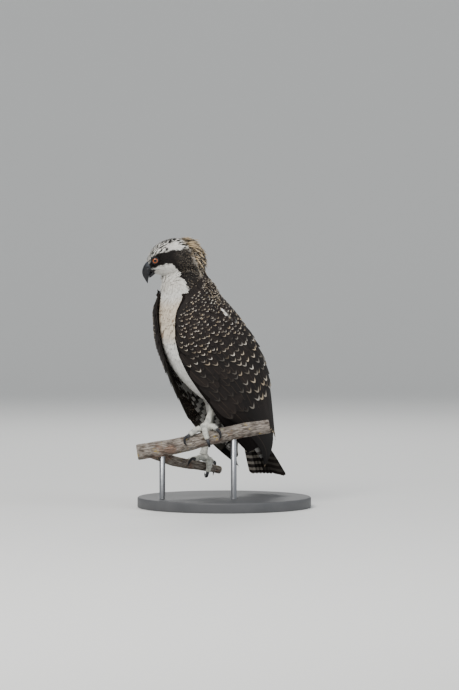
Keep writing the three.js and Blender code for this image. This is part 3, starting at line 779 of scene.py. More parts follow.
@dataclass(frozen=True)
class ScaleFinish:
    """Scaly foot skin: rounded scales with dark seams."""

    name: str
    colour: Colour = tone(222, 221, 210)
    shade: Colour = tone(172, 174, 168)
    rust: Colour = tone(150, 104, 72)

    def material(self) -> Material:
        """Cell edges make seams; noise stains the scales.

        Returns:
            The foot material.
        """
        graph = Graph(self.name)
        seam = graph.cells(graph.place(), 640.0).ease(0.02, 0.16)
        stain = graph.noise(120.0, 4.0)
        fine = graph.noise(900.0, 3.0)
        colour = graph.mix(stain.ease(0.42, 0.68), self.colour, self.shade)
        rusty = graph.noise(55.0, 2.0).ease(0.6, 0.74)
        colour = graph.mix(rusty * 0.55, colour, self.rust)
        colour = graph.mix((1 - seam) * 0.42, colour, tone(92, 90, 86))
        relief = seam * 0.8 + fine * 0.2
        return graph.finish(colour, fine * 0.2 + 0.45, relief, 0.00035, Specular_IOR_Level=0.4)


@dataclass(frozen=True)
class LidFinish:
    """Bare dark skin of the eyelids and gape."""

    name: str
    colour: Colour = tone(20, 18, 19)

    def material(self) -> Material:
        """Fine wrinkles over a dark colour.

        Returns:
            The material.
        """
        graph = Graph(self.name)
        fold = graph.noise(1400.0, 3.0)
        colour = graph.mix(fold * 0.4, self.colour, tone(40, 37, 38))
        return graph.finish(colour, fold * 0.2 + 0.5, fold, 0.00015, Specular_IOR_Level=0.2)


@dataclass(frozen=True)
class BarkFinish:
    """Weathered bark: grey brown, cracked lengthwise, with rusty patches and lichen."""

    name: str
    grey: Colour = tone(174, 168, 160)
    brown: Colour = tone(112, 98, 86)
    rust: Colour = tone(122, 78, 52)
    lichen: Colour = tone(176, 148, 52)
    mint: Colour = tone(150, 158, 140)

    def material(self) -> Material:
        """Long cracks follow the limb's own map; patches come from Object coordinates.

        Returns:
            The bark material.
        """
        graph = Graph(self.name)
        chart = graph.value("ShaderNodeUVMap", {}, uv_map="run")
        long_cells = graph.value("ShaderNodeMapping", {"Vector": chart, "Scale": (9.0, 15.0, 1.0)})
        warp = graph.noise(90.0, 4.0)
        grain = graph.noise(3.4, 7.0, 0.66, long_cells)
        crack = graph.cells(long_cells, 1.0)
        crack = (crack + (warp - 0.5) * 0.22).ease(0.0, 0.14)
        colour = graph.mix(grain.ease(0.34, 0.66), self.brown, self.grey)
        rusty = graph.noise(36.0, 3.0).ease(0.52, 0.68)
        colour = graph.mix(rusty * 0.5, colour, self.rust)
        colour = graph.mix((1 - crack) * 0.62, colour, tone(44, 36, 31))
        # Painted shade: the bark is darkened in its furrows
        colour = graph.mix(graph.recess_shade() * 0.6, colour, tone(52, 43, 37))
        patch = graph.noise(95.0, 6.0, 0.7)
        colour = graph.mix(patch.ease(0.615, 0.66) * 0.65, colour, self.lichen)
        minty = graph.noise(48.0, 6.0, 0.72).ease(0.61, 0.67)
        colour = graph.mix(minty * 0.7, colour, self.mint)
        relief = grain * 0.6 + crack * 0.5 + patch * 0.2
        return graph.finish(colour, 0.88, relief, 0.0014, Specular_IOR_Level=0.15)


@dataclass(frozen=True)
class StandFinish:
    """Painted or metal stand parts with a fine tooth."""

    name: str
    colour: Colour
    roughness: float
    metallic: float = 0.0
    streak: Triple = (1.0, 1.0, 1.0)

    def material(self) -> Material:
        """Fine noise, stretched where the metal is brushed.

        Returns:
            The material.
        """
        graph = Graph(self.name)
        tooth = graph.noise(900.0, 3.0, vector=graph.stretched(self.streak))
        wear = graph.noise(24.0, 3.0)
        colour = graph.mix(wear * 0.14, self.colour, (0.5, 0.5, 0.5))
        roughness = tooth * 0.18 + wear * 0.08 + self.roughness
        return graph.finish(colour, roughness, tooth, 0.00006, Metallic=self.metallic)


@dataclass(frozen=True)
class FloorFinish:
    """Plain pale studio floor."""

    name: str

    def material(self) -> Material:
        """Pale matt surface with the faintest cloudiness.

        Returns:
            The material.
        """
        graph = Graph(self.name)
        cloud = graph.noise(2.0, 2.0)
        colour = graph.mix(cloud * 0.2, tone(226, 226, 224), tone(216, 217, 216))
        return graph.finish(colour, 0.85)


# ---- Meshes ----


@dataclass
class Fabric:
    """Arrays of one mesh in millimetres, with its maps and colours per vertex."""

    points: Array
    quads: Array
    charts: dict[str, Array] = field(default_factory=dict)
    colours: dict[str, Array] = field(default_factory=dict)

    @staticmethod
    def joined(parts: Sequence["Fabric"]) -> "Fabric":
        """One set of arrays from several, with the faces numbered on.

        Args:
            parts: The parts.

        Returns:
            The whole.
        """
        starts = np.cumsum([0] + [len(part.points) for part in parts[:-1]])
        return Fabric(
            np.concatenate([part.points for part in parts]),
            np.concatenate([part.quads + start for part, start in zip(parts, starts)]),
            Fabric._stacked([part.charts for part in parts]),
            Fabric._stacked([part.colours for part in parts]),
        )

    @staticmethod
    def _stacked(sets: Sequence[dict[str, Array]]) -> dict[str, Array]:
        """The arrays of all sets under each key of the first."""
        return {key: np.concatenate([each[key] for each in sets]) for key in sets[0]}

    def mesh(self, name: str) -> bpy.types.Mesh:
        """Write the arrays into a new mesh; a quad with a repeated corner is a triangle.

        Args:
            name: Name of the mesh.

        Returns:
            The mesh, smooth shaded, in metres.
        """
        mesh = bpy.data.meshes.new(name)
        mesh.vertices.add(len(self.points))
        places = (self.points + LIFT) * METRE
        mesh.vertices.foreach_set("co", places.astype(np.float32).ravel())
        closed = self.quads[:, 2] == self.quads[:, 3]
        corners = np.where(closed, 3, 4)
        keep = np.ones(self.quads.shape, dtype=bool)
        keep[closed, 3] = False
        loops = self.quads[keep]
        mesh.loops.add(len(loops))
        mesh.loops.foreach_set("vertex_index", loops.astype(np.int32))
        mesh.polygons.add(len(self.quads))
        starts = np.concatenate([[0], np.cumsum(corners)[:-1]])
        mesh.polygons.foreach_set("loop_start", starts.astype(np.int32))
        mesh.polygons.foreach_set("use_smooth", np.ones(len(self.quads), dtype=bool))
        mesh.update(calc_edges=True)
        for key, chart in self.charts.items():
            layer = mesh.uv_layers.new(name=key)
            layer.data.foreach_set("uv", chart[loops].astype(np.float32).ravel())
        for key, colour in self.colours.items():
            data = mesh.color_attributes.new(key, "FLOAT_COLOR", "POINT")
            data.data.foreach_set("color", colour.astype(np.float32).ravel())
        return mesh


def add_piece(
    name: str, shape: Union[Fabric, bpy.types.Mesh], material: Material, slot: str, *nodes: str,
) -> bpy.types.Object:
    """Put a shape in the scene as a piece of the model.

    Args:
        name: Name of the piece.
        shape: Its arrays, or its mesh with its place in it.
        material: Its finish.
        slot: Slot of its finish; not used.
        *nodes: The model's nodes that it takes the place of.

    Returns:
        The new object.
    """
    mesh = shape.mesh(name) if isinstance(shape, Fabric) else shape
    piece = bpy.data.objects.new(name, mesh)
    bpy.context.scene.collection.objects.link(piece)
    mesh.materials.append(material)
    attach(piece, "root")
    if nodes:
        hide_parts(*nodes)
    LOG.info("%s: %d faces", name, len(mesh.polygons))
    return piece


def grid_quads(rows: int, columns: int, closed: bool = False) -> Array:
    """Faces of a grid of vertices.

    Args:
        rows: Vertices down the grid.
        columns: Vertices across it.
        closed: Whether the last column joins the first.

    Returns:
        Four vertex numbers for each face.
    """
    spans = columns if closed else columns - 1
    r, c = np.meshgrid(np.arange(rows - 1), np.arange(spans), indexing="ij")
    r, c = r.ravel(), c.ravel()
    d = (c + 1) % columns
    here, below = r * columns, (r + 1) * columns
    return np.stack([here + c, here + d, below + d, below + c], axis=1)


def ring_quads(rows: int, columns: int) -> Array:
    """Faces of a grid of vertices that closes both ways.

    Args:
        rows: Vertices one way.
        columns: Vertices the other way.

    Returns:
        Four vertices a row.
    """
    r, c = (grid.ravel() for grid in np.indices((rows, columns)))
    p, q = (r + 1) % rows, (c + 1) % columns
    return np.stack([r * columns + c, p * columns + c, p * columns + q, r * columns + q], axis=1)


def tube(rings: Array, charts: bool = True, recess_shade: Optional[Array] = None) -> Fabric:
    """Closed tube from rings of points, with a fan to the middle of each end ring.

    Args:
        rings: Rings by points by 3, wound so that faces point outwards.
        charts: Whether the map called run is made.
        recess_shade: Painted shade of each ring point from 0 to 1, darkest in pits and furrows, or
            none.

    Returns:
        The arrays of the tube.
    """
    count, around = rings.shape[:2]
    ends = np.stack([rings[0].mean(axis=0), rings[-1].mean(axis=0)])
    points = np.concatenate([rings.reshape(-1, 3), ends])
    body = grid_quads(count, around, True)
    i = np.arange(around)
    j = (i + 1) % around
    start, first = (count - 1) * around, np.full(around, count * around)
    low = np.stack([j, i, first, first], axis=1)
    high = np.stack([start + i, start + j, first + 1, first + 1], axis=1)
    v = np.repeat(np.linspace(0, 1, count), around)
    u = np.tile(1 - np.abs(np.linspace(-1, 1, around)), count)
    run = np.concatenate([np.stack([v, u], axis=1), [[0, 0.5], [1, 0.5]]])
    shade = np.zeros(len(points))
    if recess_shade is not None:
        shade = np.concatenate([recess_shade.ravel(), recess_shade[[0, -1]].mean(axis=1)])
    colour = np.stack([shade, shade, shade, np.ones(len(points))], axis=1)
    quads = np.concatenate([body, low, high])
    return Fabric(points, quads, {"run": run} if charts else {}, {"recess_shade": colour})


def spline(path: Rows, steps: int) -> Pair:
    """Smooth path through points: cubic curve with slopes from the neighbouring points.

    Args:
        path: Points of the path.
        steps: Number of places wanted along it.

    Returns:
        Places and unit directions.
    """
    points = np.array(path, dtype=float)
    gaps = np.linalg.norm(np.diff(points, axis=0), axis=1) ** 0.5
    knots = np.concatenate([[0], np.cumsum(gaps)])
    curve = Table(np.column_stack([knots, points]))
    t = np.interp(np.linspace(0, 1, steps), np.linspace(0, 1, len(knots)), knots)
    places = np.moveaxis(curve(t), 0, -1)
    return places, unit(np.gradient(places, axis=0))


def swept(path: Rows, side: Array, sizes: Rows, steps: int, around: int) -> Sizes:
    """Oval rings along a path.

    Args:
        path: Points of the path.
        side: Direction of the first half width.
        sizes: Rows of share of the path, half width and half depth.
        steps: Rings along the path.
        around: Points in each ring.

    Returns:
        Rings of points, their outward directions, and the angle of each ring point.
    """
    centres, run = spline(path, steps)
    across = unit(side - run * dot(run, side))
    up = np.cross(run, across)
    width, depth = Table(sizes)(np.linspace(0, 1, steps))
    angle = circle(around)
    aside = across[:, None] * np.cos(angle)[None, :, None]
    above = up[:, None] * np.sin(angle)[None, :, None]
    rings = centres[:, None] + aside * column(width) + above * column(depth)
    return rings, aside + above, angle


def limb(path: Rows, side: Array, sizes: Rows, steps: int, around: int) -> Fabric:
    """Smooth closed tube along a path, with the arguments of swept."""
    return tube(swept(path, side, sizes, steps, around)[0])


# ---- Feathers ----


def tip_rows(steps: int, power: float = 1.8) -> Array:
    """Shares of a feather's length at its rows, which stand closer towards the tip."""
    return 1 - (1 - np.linspace(0, 1, steps + 1)) ** power


def vane_outline(tip: Tip, v: Array, root: float, growth: float) -> Array:
    """Share of the full width at each v: it grows from the root and rounds off at the tip.

    Args:
        tip: Kind of tip.
        v: Shares of the length.
        root: Share of the width at the root.
        growth: Gain over the whole length.

    Returns:
        The shares.
    """
    start, power = tip.value
    past = np.clip((v - start) / (1 - start), 0, 1)
    return np.minimum(root + growth * v, 1) * np.clip(1 - past**power, 0, 1) ** (1 / power)


@dataclass
class Vanes:
    """A set of feathers. Each array has an entry for each; a single number stands for all."""

    root: Array
    lie: Array
    out: Array
    length: Array
    width: Array
    spot: Array
    plume: Array
    edge: Array
    lift: Level
    sink: Level
    curl: Level
    cup: Level
    tip: Tip = Tip.ROUND
    rows: int = 7
    columns: int = 4

    def fabric(self) -> Fabric:
        """Bend a flat feather outline along the body, cup it across, and lift its tip.

        A place at v along and a across is root + sine(curl s) / curl along the lie, less
        (1 - cosine(curl s)) / curl outwards, where s is the length to v; its height grows from
        -sink to lift, and falls to both edges with the square of a.

        Returns:
            The arrays of all feathers.
        """
        v = tip_rows(self.rows)
        a = np.linspace(-1, 1, self.columns + 1)
        outline = vane_outline(self.tip, v, 0.5, 1.6)
        bend = column(np.where(np.abs(self.curl) < 1e-4, 1e-4, self.curl))
        s = column(self.length) * v[None, :, None]
        half = 0.5 * column(self.width) * outline[None, :, None] * a[None, None, :]
        along = np.sin(bend * s) / bend
        drop = (np.cos(bend * s) - 1) / bend
        rise = -column(self.sink) + column(np.add(self.sink, self.lift)) * v[None, :, None]
        height = drop + rise - 0.5 * column(self.cup) * half**2
        lie, out = self.lie[:, None, None], self.out[:, None, None]
        across = np.cross(self.lie, self.out)[:, None, None]
        points = self.root[:, None, None] + lie * along[..., None] + out * height[..., None]
        points = points + across * half[..., None]
        return vane_fabric(points, self.spot, self.plume, self.edge, v, a)


def vane_fabric(
    points: Array, spot: Array, plume: Array, edge: Array, v: Array, a: Array
) -> Fabric:
    """Arrays of feathers whose vertices are worked out.

    Args:
        points: Feathers by rows by columns by 3.
        spot: Place of each feather on the unwrapped coat, from 0 to 1.
        plume: Base colour of each feather, with how far it is barred.
        edge: Edge colour of each feather, with its strength.
        v: Share of the length at each row.
        a: Share of the half width at each column, from -1 to 1.

    Returns:
        The arrays with the maps vane and OFBake.
    """
    count, rows, columns = points.shape[:3]
    one = grid_quads(rows, columns)
    quads = (one[None] + (np.arange(count) * rows * columns)[:, None, None]).reshape(-1, 4)
    share = v[None, :, None] + np.zeros((count, 1, 1))
    vane = np.stack(np.broadcast_arrays((a[None, None, :] + 1) / 2, share), axis=-1)
    bake = spot[:, None, None, :] + PATCH * (vane - 0.5)
    colours = {"plume": plume, "edge": edge}
    return Fabric(
        points.reshape(-1, 3), quads,
        {"OFBake": bake.reshape(-1, 2), "vane": vane.reshape(-1, 2)},
        {key: np.repeat(colour, rows * columns, axis=0) for key, colour in colours.items()},
    )


def with_alpha(colour: Array, alpha: Level, count: int = 1) -> Array:
    """Rows of colour and alpha; either, or both with a count, may be one for all."""
    count = max(count, len(np.atleast_2d(colour)), np.size(alpha))
    return np.column_stack([np.broadcast_to(colour, (count, 3)), np.broadcast_to(alpha, (count,))])


DARK = np.array(tone(37, 30, 27))
DARKER = np.array(tone(24, 20, 19))
WHITE = np.array(tone(244, 242, 236))
BUFF = np.array(tone(214, 192, 160))
GREY = np.array(tone(176, 168, 156))
STREAK = np.array(tone(104, 78, 56))
CREAM = np.array(tone(222, 196, 156))


def blend(first: Array, second: Array, share: Array) -> Array:
    """Colour between two, by a share for each row."""
    share = np.asarray(share)[..., None]
    return first * (1 - share) + second * share


def markings(places: Array, rng: np.random.Generator) -> Pair:
    """Colours of the head and body at places on them.

    Args:
        places: Perch-space places.
        rng: Source of the streaks' randomness.

    Returns:
        Base colour and edge colour with strength, for each place.
    """
    f, s, v = HEAD.locate(places)
    l, x, n = TRUNK.locate(places)
    half, middle, depth, shift = TRUNK_OVAL.section(l)
    side = np.abs(np.arctan2((x - shift) / half, (n - middle) / depth))
    on_head = smooth(-104, -122, l) * np.where(f > -60, 1.0, 0.0)
    count = len(places)
    chance = rng.random(count)
    wobble = ripple(places, 9, 5) * 2.2

    # Dark stripe through the eye, between two edges that run back from the bill
    edge_low = np.interp(f, [5, 7, 10, 15, 34, 46], [-70, -22, -9, -1.5, 1, 3])
    edge_low = edge_low + wobble * 0.8
    edge_high = np.interp(f, [-24, -11, 5, 25, 35, 46], [8, 10.5, 17, 22.5, 19, 10])
    edge_high = edge_high + wobble * 0.6
    stripe = smooth(-1.6, 1.6, v - edge_low) * smooth(1.4, -1.4, v - edge_high)
    behind = smooth(8, 3, f) * smooth(12, 6, v)
    nape = smooth(-21, -27, f + wobble) * smooth(-52, -44, v + 9 * (chance - 0.5))
    # White crown with dark streaks, a plain white patch behind the eye, and the straw nape
    crown = smooth(-1, 2, v - edge_high)
    patch = smooth(9, 5, f + wobble) * smooth(-16, -12, f + wobble)
    patch = patch * smooth(6, 9, np.abs(s) - wobble * 0.5)
    lines = np.sin(s * 1.8 + ripple(places, 12, 9) * 1.3) + 1.3 * (chance - 0.5)
    streaked = lines > np.interp(f, [-30, 0, 20, 34, 44], [-0.45, -0.35, 0.0, 0.25, -0.1])
    crown_dark = crown * streaked * (1 - patch * smooth(29, 25, v))
    inner_nape = smooth(12, 8, np.abs(s) + 6 * (chance - 0.5))
    inner_nape = inner_nape * smooth(-28, -36, f + 5 * chance)
    nape_dark = nape * (1 - inner_nape * (chance < 0.68) * (0.7 + 0.3 * chance))
    head_dark = np.maximum(np.maximum(stripe, behind), crown_dark * (1 - nape))
    head_dark = np.maximum(head_dark * (1 - nape), nape_dark)
    pale = blend(WHITE, CREAM, np.clip(nape + 0.12 * chance, 0, 1))
    throat = smooth(-20, -34, v) * smooth(-20, 20, f)
    pale = blend(pale, GREY * 1.15, throat * 0.3)
    head_colour = blend(pale, DARKER, np.clip(head_dark, 0, 1))

    # White front and dark back meet along a line down the neck, with a rusty bib on the breast
    neck_line = np.interp(
        l, [-137, -114, -92, -70, -40, 0, 196], [2.0, 2.12, 1.92, 1.72, 1.5, 1.4, 1.35]
    )
    dark_back = smooth(0.1, -0.1, side - neck_line + wobble * 0.03)
    bib = smooth(-110, -92, l) * smooth(-34, -60, l) * smooth(1.9, 2.3, side)
    breast = bib * (chance > 0.66)
    body_colour = blend(blend(WHITE, CREAM, bib * 0.55), DARK, dark_back)
    body_colour = blend(body_colour, STREAK * 1.6, bib * (chance > 0.93) * 0.75)
    colour = blend(body_colour, head_colour, on_head)
    on_back = dark_back * np.interp(l, [-60, 10], [0.95, 0.3])
    strength = on_back * (1 - on_head) + (nape * 0.8 + behind * 0.4) * on_head
    strength = np.where(rng.random(count) < 0.25, strength * 0.3, strength)
    colour = colour * (0.88 + 0.22 * rng.random((count, 1)))
    edge = blend(blend(BUFF, WHITE, rng.random(count) * 0.5), STREAK, breast)
    return colour, with_alpha(edge, np.maximum(strength, breast))


class Coat:
    """Feathers over the head, neck and trunk, and the one skin that they grow from."""

    def __init__(self) -> None:
        """Start the seeded randomness of the coat."""
        self.rng = np.random.default_rng(77)

    def build(self, feathers: Material, skin: Material) -> None:
        """Make the skin and every layer of the coat.

        Args:
            feathers: Look of small feathers.
            skin: Look of the skin.
        """
        self._skin(skin)
        layers = (
            ("body", self._trunk_roots, 6.6, self._body_sizes, Tip.ROUND, (7, 4)),
            ("head", self._head_roots, 1.7, self._head_sizes, Tip.FINE, (4, 2)),
            ("neck", self._neck_roots, 2.7, self._neck_sizes, Tip.FINE, (5, 2)),
            ("nape", self._nape_roots, 340, self._nape_sizes, Tip.POINTED, (7, 2)),
        )
        for name, roots, spacing, sizes, tip, grid in layers:
            layer = self._layer(*roots(spacing), sizes, tip, grid)
            if name == "nape":
                layer.colours["plume"] = self._straw_tips(len(layer.points), grid)
            add_piece(f"{name}_feathers", layer, feathers, "feathers_pale")

    def _layer(
        self, root: Array, spot: Array, sizes: Callable[[Array], Sizes], tip: Tip,
        grid: tuple[int, int],
    ) -> Fabric:
        """Feathers at the roots, each bent by the body's own curve under it.

        Args:
            root: Places on the surface.
            spot: Places on the unwrapped coat.
            sizes: Gives length, width and lift for places.
            tip: Shape of the tips.
            grid: Steps along a feather and across it.

        Returns:
            The arrays of the layer.
        """
        out = body_normal(root)
        lie = body_lie(root)
        lie = lie + self.rng.normal(scale=0.1, size=lie.shape)
        lie = unit(lie - out * dot(lie, out))
        length, width, lift = sizes(root)
        curl = self._curve(root, lie, out, np.minimum(length, 12))
        cup = self._curve(root, np.cross(lie, out), out, width * 0.5)
        colour, edge = markings(root + lie * length[:, None] * 0.5, self.rng)
        vanes = Vanes(
            root, lie, out, length, width, spot, with_alpha(colour, 0.0), edge, lift, 1.4,
            np.clip(curl, -0.02, 0.05), np.clip(cup, 0.004, 0.05) * 1.2, tip, *grid,
        )
        return vanes.fabric()

    @staticmethod
    def _curve(root: Array, run: Array, out: Array, reach: Array) -> Array:
        """Turn of the surface for each millimetre along a direction.

        Args:
            root: Roots.
            run: Direction of each run.
            out: Outward directions.
            reach: Length looked over.

        Returns:
            Radians for each millimetre.
        """
        ahead = onto_body(root + run * reach[:, None])
        turned = body_normal(ahead)
        return dot(turned - out, run)[:, 0] / np.maximum(reach, 1)

    def _rows(self, low: float, high: float, pitch: float, gap: float, oval: Oval) -> Pair:
        """Stations and angles of roots in staggered rows round a closed section.

        Args:
            low: First station.
            high: Last station.
            pitch: Distance between rows.
            gap: Distance between the roots of a row.
            oval: The surface they grow on.

        Returns:
            Station and angle of every root.
        """
        stations, angles = [], []
        for k, station in enumerate(np.arange(low, high, pitch)):
            count = max(int(oval.girth(station) / gap), 6)
            turn = (np.arange(count) + 0.5 * (k % 2)) / count * TURN
            angles.append(turn + self.rng.normal(scale=0.25 / count * TURN, size=count))
            stations.append(station + self.rng.normal(scale=0.22 * pitch, size=count))
        return np.concatenate(stations), np.concatenate(angles)

    def _trunk_roots(self, gap: float) -> Pair:
        """Roots over the trunk, where it stands clear of the head.

        Args:
            gap: Distance apart.

        Returns:
            Roots and their spots on the map.
        """
        l, angle = self._rows(-92, 194, gap * 0.9, gap, TRUNK_OVAL)
        root = onto_body(TRUNK_OVAL.point(l, angle, 0))
        return root, self._strip(angle, 0.01, 0.02 + 0.44 * (l + 137) / 333)

    def _neck_roots(self, gap: float) -> Pair:
        """Roots over the neck and in the hollow behind the head.

        Args:
            gap: Distance apart.

        Returns:
            Roots and their spots on the map.
        """
        l, angle = self._rows(-134, -78, gap * 0.9, gap, TRUNK_OVAL)
        start = TRUNK_OVAL.point(l, angle, 0)
        f, _, _ = HEAD.locate(start)
        root = onto_body(start)
        keep = (np.linalg.norm(root - start, axis=1) < 13) & (f > -60)
        spot = self._strip(angle, 0.011, 0.47 + 0.1 * (l + 137) / 60)
        s, v = np.meshgrid(np.arange(-24, 24, gap), np.arange(-46, 14, gap * 0.9), indexing="ij")
        s = s.ravel() + self.rng.normal(scale=0.25 * gap, size=s.size)
        v = v.ravel() + self.rng.normal(scale=0.22 * gap, size=v.size)
        hollow = onto_body(HEAD.place(HOLLOW, s, v))
        chart = np.stack([0.4 + 0.2 * (s + 26) / 52, 0.975 + 0.02 * (v + 48) / 64], axis=1)
        return np.concatenate([root[keep], hollow]), np.concatenate([spot[keep], chart])

    def _head_roots(self, gap: float) -> Pair:
        """Roots over the head, off the eyes and the bill.

        Args:
            gap: Distance apart.

        Returns:
            Roots and their spots on the map.
        """
        f, angle = self._rows(-44, 45.5, gap * 0.85, gap, HEAD_OVAL)
        start = HEAD_OVAL.point(f, angle, 0)
        root = onto_body(start)
        f2, s2, v2 = HEAD.locate(root)
        off_eye = np.hypot((f2 - EYE_PLACE[0]) * 0.95, v2 - EYE_PLACE[2]) > 5.2
        off_bill = (f2 < 40) | (np.hypot(s2, v2 - 6) > 9)
        near = np.linalg.norm(root - start, axis=1) < 9
        keep = near & (off_eye | (np.abs(s2) < 8)) & off_bill
        return root[keep], self._strip(angle, 0.012, 0.6 + 0.36 * (f + 46) / 92)[keep]

    @staticmethod
    def _strip(angle: Array, start: float, level: Array) -> Array:
        """Places on the unwrapped coat: the angle across from a start, and a level."""
        return np.stack([start + 0.96 * (angle / TURN % 1), level], axis=1)

    def _nape_roots(self, count: int) -> Pair:
        """Roots of the longer ragged feathers on the back of the head.

        Args:
            count: How many.

        Returns:
            Roots and their spots on the map.
        """
        f = self.rng.uniform(-44, -21, count)
        angle = self.rng.normal(scale=0.7, size=count)
        over = onto_body(HEAD_OVAL.point(f, angle, 0))
        s, v = self.rng.uniform(-17, 17, count), self.rng.uniform(-46, 12, count)
        under = onto_body(HEAD.place(HOLLOW, s, v))
        spot = np.stack([0.5 + 0.2 * angle / 3, 0.965 + 0.03 * (f + 46) / 46], axis=1)
        below = np.stack([0.7 + 0.2 * s / 20, 0.965 + 0.03 * (v + 46) / 58], axis=1)
        spots = np.clip(np.concatenate([spot, below]), 0.01, 0.99)
        return np.concatenate([over, under]), spots

    def _straw_tips(self, points: int, grid: tuple[int, int]) -> Array:
        """Base colours of the nape feathers, dark at the root and straw at most of the tips.

        The colour is the mix of dark and straw by v, the share of the length at each row.

        Args:
            points: How many vertices.
            grid: Steps along and across.

        Returns:
            A colour for each vertex.
        """
        rows, columns = grid[0] + 1, grid[1] + 1
        size = (points // (rows * columns), 1, 1)
        v = tip_rows(grid[0])
        dark_share = 0.32
        worn = self.rng.choice([0.15, 1.0], size=size, p=[dark_share, 1 - dark_share])
        worn = worn * self.rng.uniform(0.7, 1.0, size)
        pale = smooth(0.35, 0.8, v)[None, :, None] * worn + np.zeros((1, 1, columns))
        return with_alpha(DARKER + (CREAM * 1.1 - DARKER) * pale.reshape(-1, 1), 0.0)

    def _body_sizes(self, places: Array) -> Sizes:
        """Longer feathers down the trunk.

        Args:
            places: Places.

        Returns:
            Length, width and lift.
        """
        l, x, n = TRUNK.locate(places)
        back = smooth(28, 46, n) * smooth(34, 20, np.abs(x)) * smooth(-84, -50, l)
        length = np.interp(l, [-92, -60, 0, 100, 150, 190], [12, 16, 20, 25, 32, 36])
        length = length * (1 + 0.35 * back)
        length = length * self.rng.uniform(0.85, 1.2, len(l))
        width = length * (np.interp(l, [-92, 0, 190], [0.5, 0.55, 0.5]) + 0.12 * back)
        return length, width, length * (0.09 + 0.13 * back)

    def _neck_sizes(self, places: Array) -> Sizes:
        """Narrow feathers on the neck, looser behind.

        Args:
            places: Places.

        Returns:
            Length, width and lift.
        """
        l, x, n = TRUNK.locate(places)
        shoulder = smooth(-124, -112, l) * smooth(10, 20, np.abs(x)) * smooth(-12, 0, n)
        length = self.rng.uniform(9, 14, len(places)) * (1 + 0.3 * shoulder)
        lift = length * (np.interp(n, [0, 45], [0.1, 0.2]) + 0.28 * shoulder)
        return length, length * (0.34 + 0.1 * shoulder), lift

    def _head_sizes(self, places: Array) -> Sizes:
        """Smallest feathers round the bill and eyes.

        Args:
            places: Places.

        Returns:
            Length, width and lift.
        """
        f, _, v = HEAD.locate(places)
        near_eye = np.hypot(f - EYE_PLACE[0], v - EYE_PLACE[2])
        length = np.interp(f, [-44, -10, 20, 45], [12, 9.5, 7, 3.8])
        length = length * self.rng.uniform(0.8, 1.2, len(f))
        length *= np.interp(near_eye, [5, 14], [0.6, 1])
        width = length * np.interp(v, [8, 16], [0.36, 0.27])
        return length, width, length * self.rng.uniform(0.08, 0.18, len(f))

    def _nape_sizes(self, places: Array) -> Sizes:
        """Long loose feathers that stand off a little.

        Args:
            places: Places.

        Returns:
            Length, width and lift.
        """
        f, _, _ = HEAD.locate(places)
        length = np.interp(f, [-44, -20, -2], [20, 18, 12])
        length = length * self.rng.uniform(0.75, 1.2, len(f))
        width = self.rng.uniform(2.2, 3.6, len(f))
        return length, width, length * self.rng.uniform(0.12, 0.36, len(f))

    def _skin(self, material: Material) -> None:
        """Loft the head and trunk inside their feathers, fuse them in small cells, smooth them.

        Args:
            material: Look of the skin.
        """
        around = circle(64)
        f, angle = np.meshgrid(np.linspace(-44.5, 45, 60), -around, indexing="ij")
        head = tube(HEAD_OVAL.point(f, angle, -2.2), False)
        l, angle = np.meshgrid(np.linspace(-135, 196, 110), around, indexing="ij")
        trunk = tube(TRUNK_OVAL.point(l, angle, -2.4), False)
        mesh = Fabric.joined([head, trunk]).mesh("skin_blank")
        blank = bpy.data.objects.new("skin_blank", mesh)
        bpy.context.scene.collection.objects.link(blank)
        cells = blank.modifiers.new("cells", "REMESH")
        cells.mode, cells.voxel_size, cells.use_smooth_shade = "VOXEL", 0.0026, True
        even = blank.modifiers.new("even", "SMOOTH")
        even.factor, even.iterations = 0.5, 6
        graph = bpy.context.evaluated_depsgraph_get()
        shaped = bpy.data.meshes.new_from_object(blank.evaluated_get(graph))
        bpy.data.objects.remove(blank)
        places = np.empty(len(shaped.vertices) * 3, dtype=np.float32)
        shaped.vertices.foreach_get("co", places)
        places = places.reshape(-1, 3).astype(float) * MILLIMETRES - LIFT
        colour, _ = markings(places, np.random.default_rng(3))
        layer = shaped.color_attributes.new("plume", "FLOAT_COLOR", "POINT")
        layer.data.foreach_set("color", with_alpha(colour, 1.0).astype(np.float32).ravel())
        loops = np.empty(len(shaped.loops), dtype=np.int32)
        shaped.loops.foreach_get("vertex_index", loops)
        chart = self._unwrap(places)[loops].astype(np.float32)
        shaped.uv_layers.new(name="OFBake").data.foreach_set("uv", chart.ravel())
        shaped.name = "body_skin"
        add_piece("body_skin", shaped, material, "feathers_pale", "head", "neck", "torso")

    @staticmethod
    def _unwrap(places: Array) -> Array:
        """Angle round the trunk's own axis and station down it.

        Args:
            places: Places.

        Returns:
            Both coordinates.
        """
        l, x, n = TRUNK.locate(places)
        _, middle, _, shift = TRUNK_OVAL.section(l)
        angle = np.arctan2(x - shift, n - middle) / TURN + 0.5
        level = 0.02 + 0.96 * np.clip((l + 175) / 375, 0, 1)
        return np.stack([0.01 + 0.98 * angle, level], axis=1)


@dataclass(frozen=True)
class Tract:
    """One run of wing feathers: stations, shares of the section, spacing and size."""

    l: tuple[float, float]
    t: tuple[float, float]
    pitch: tuple[float, float]
    length: tuple[float, float]
    width: tuple[float, float]
    lift: float
    tip_strength: float

    def share(self, station: Array) -> Array:
        """How much of the run lies ahead of a station."""
        return (station - self.l[0]) / (self.l[1] - self.l[0])

    @staticmethod
    def between(ends: tuple[float, float], done: Array) -> Array:
        """Number between the two ends of the run."""
        return ends[0] * (1 - done) + ends[1] * done


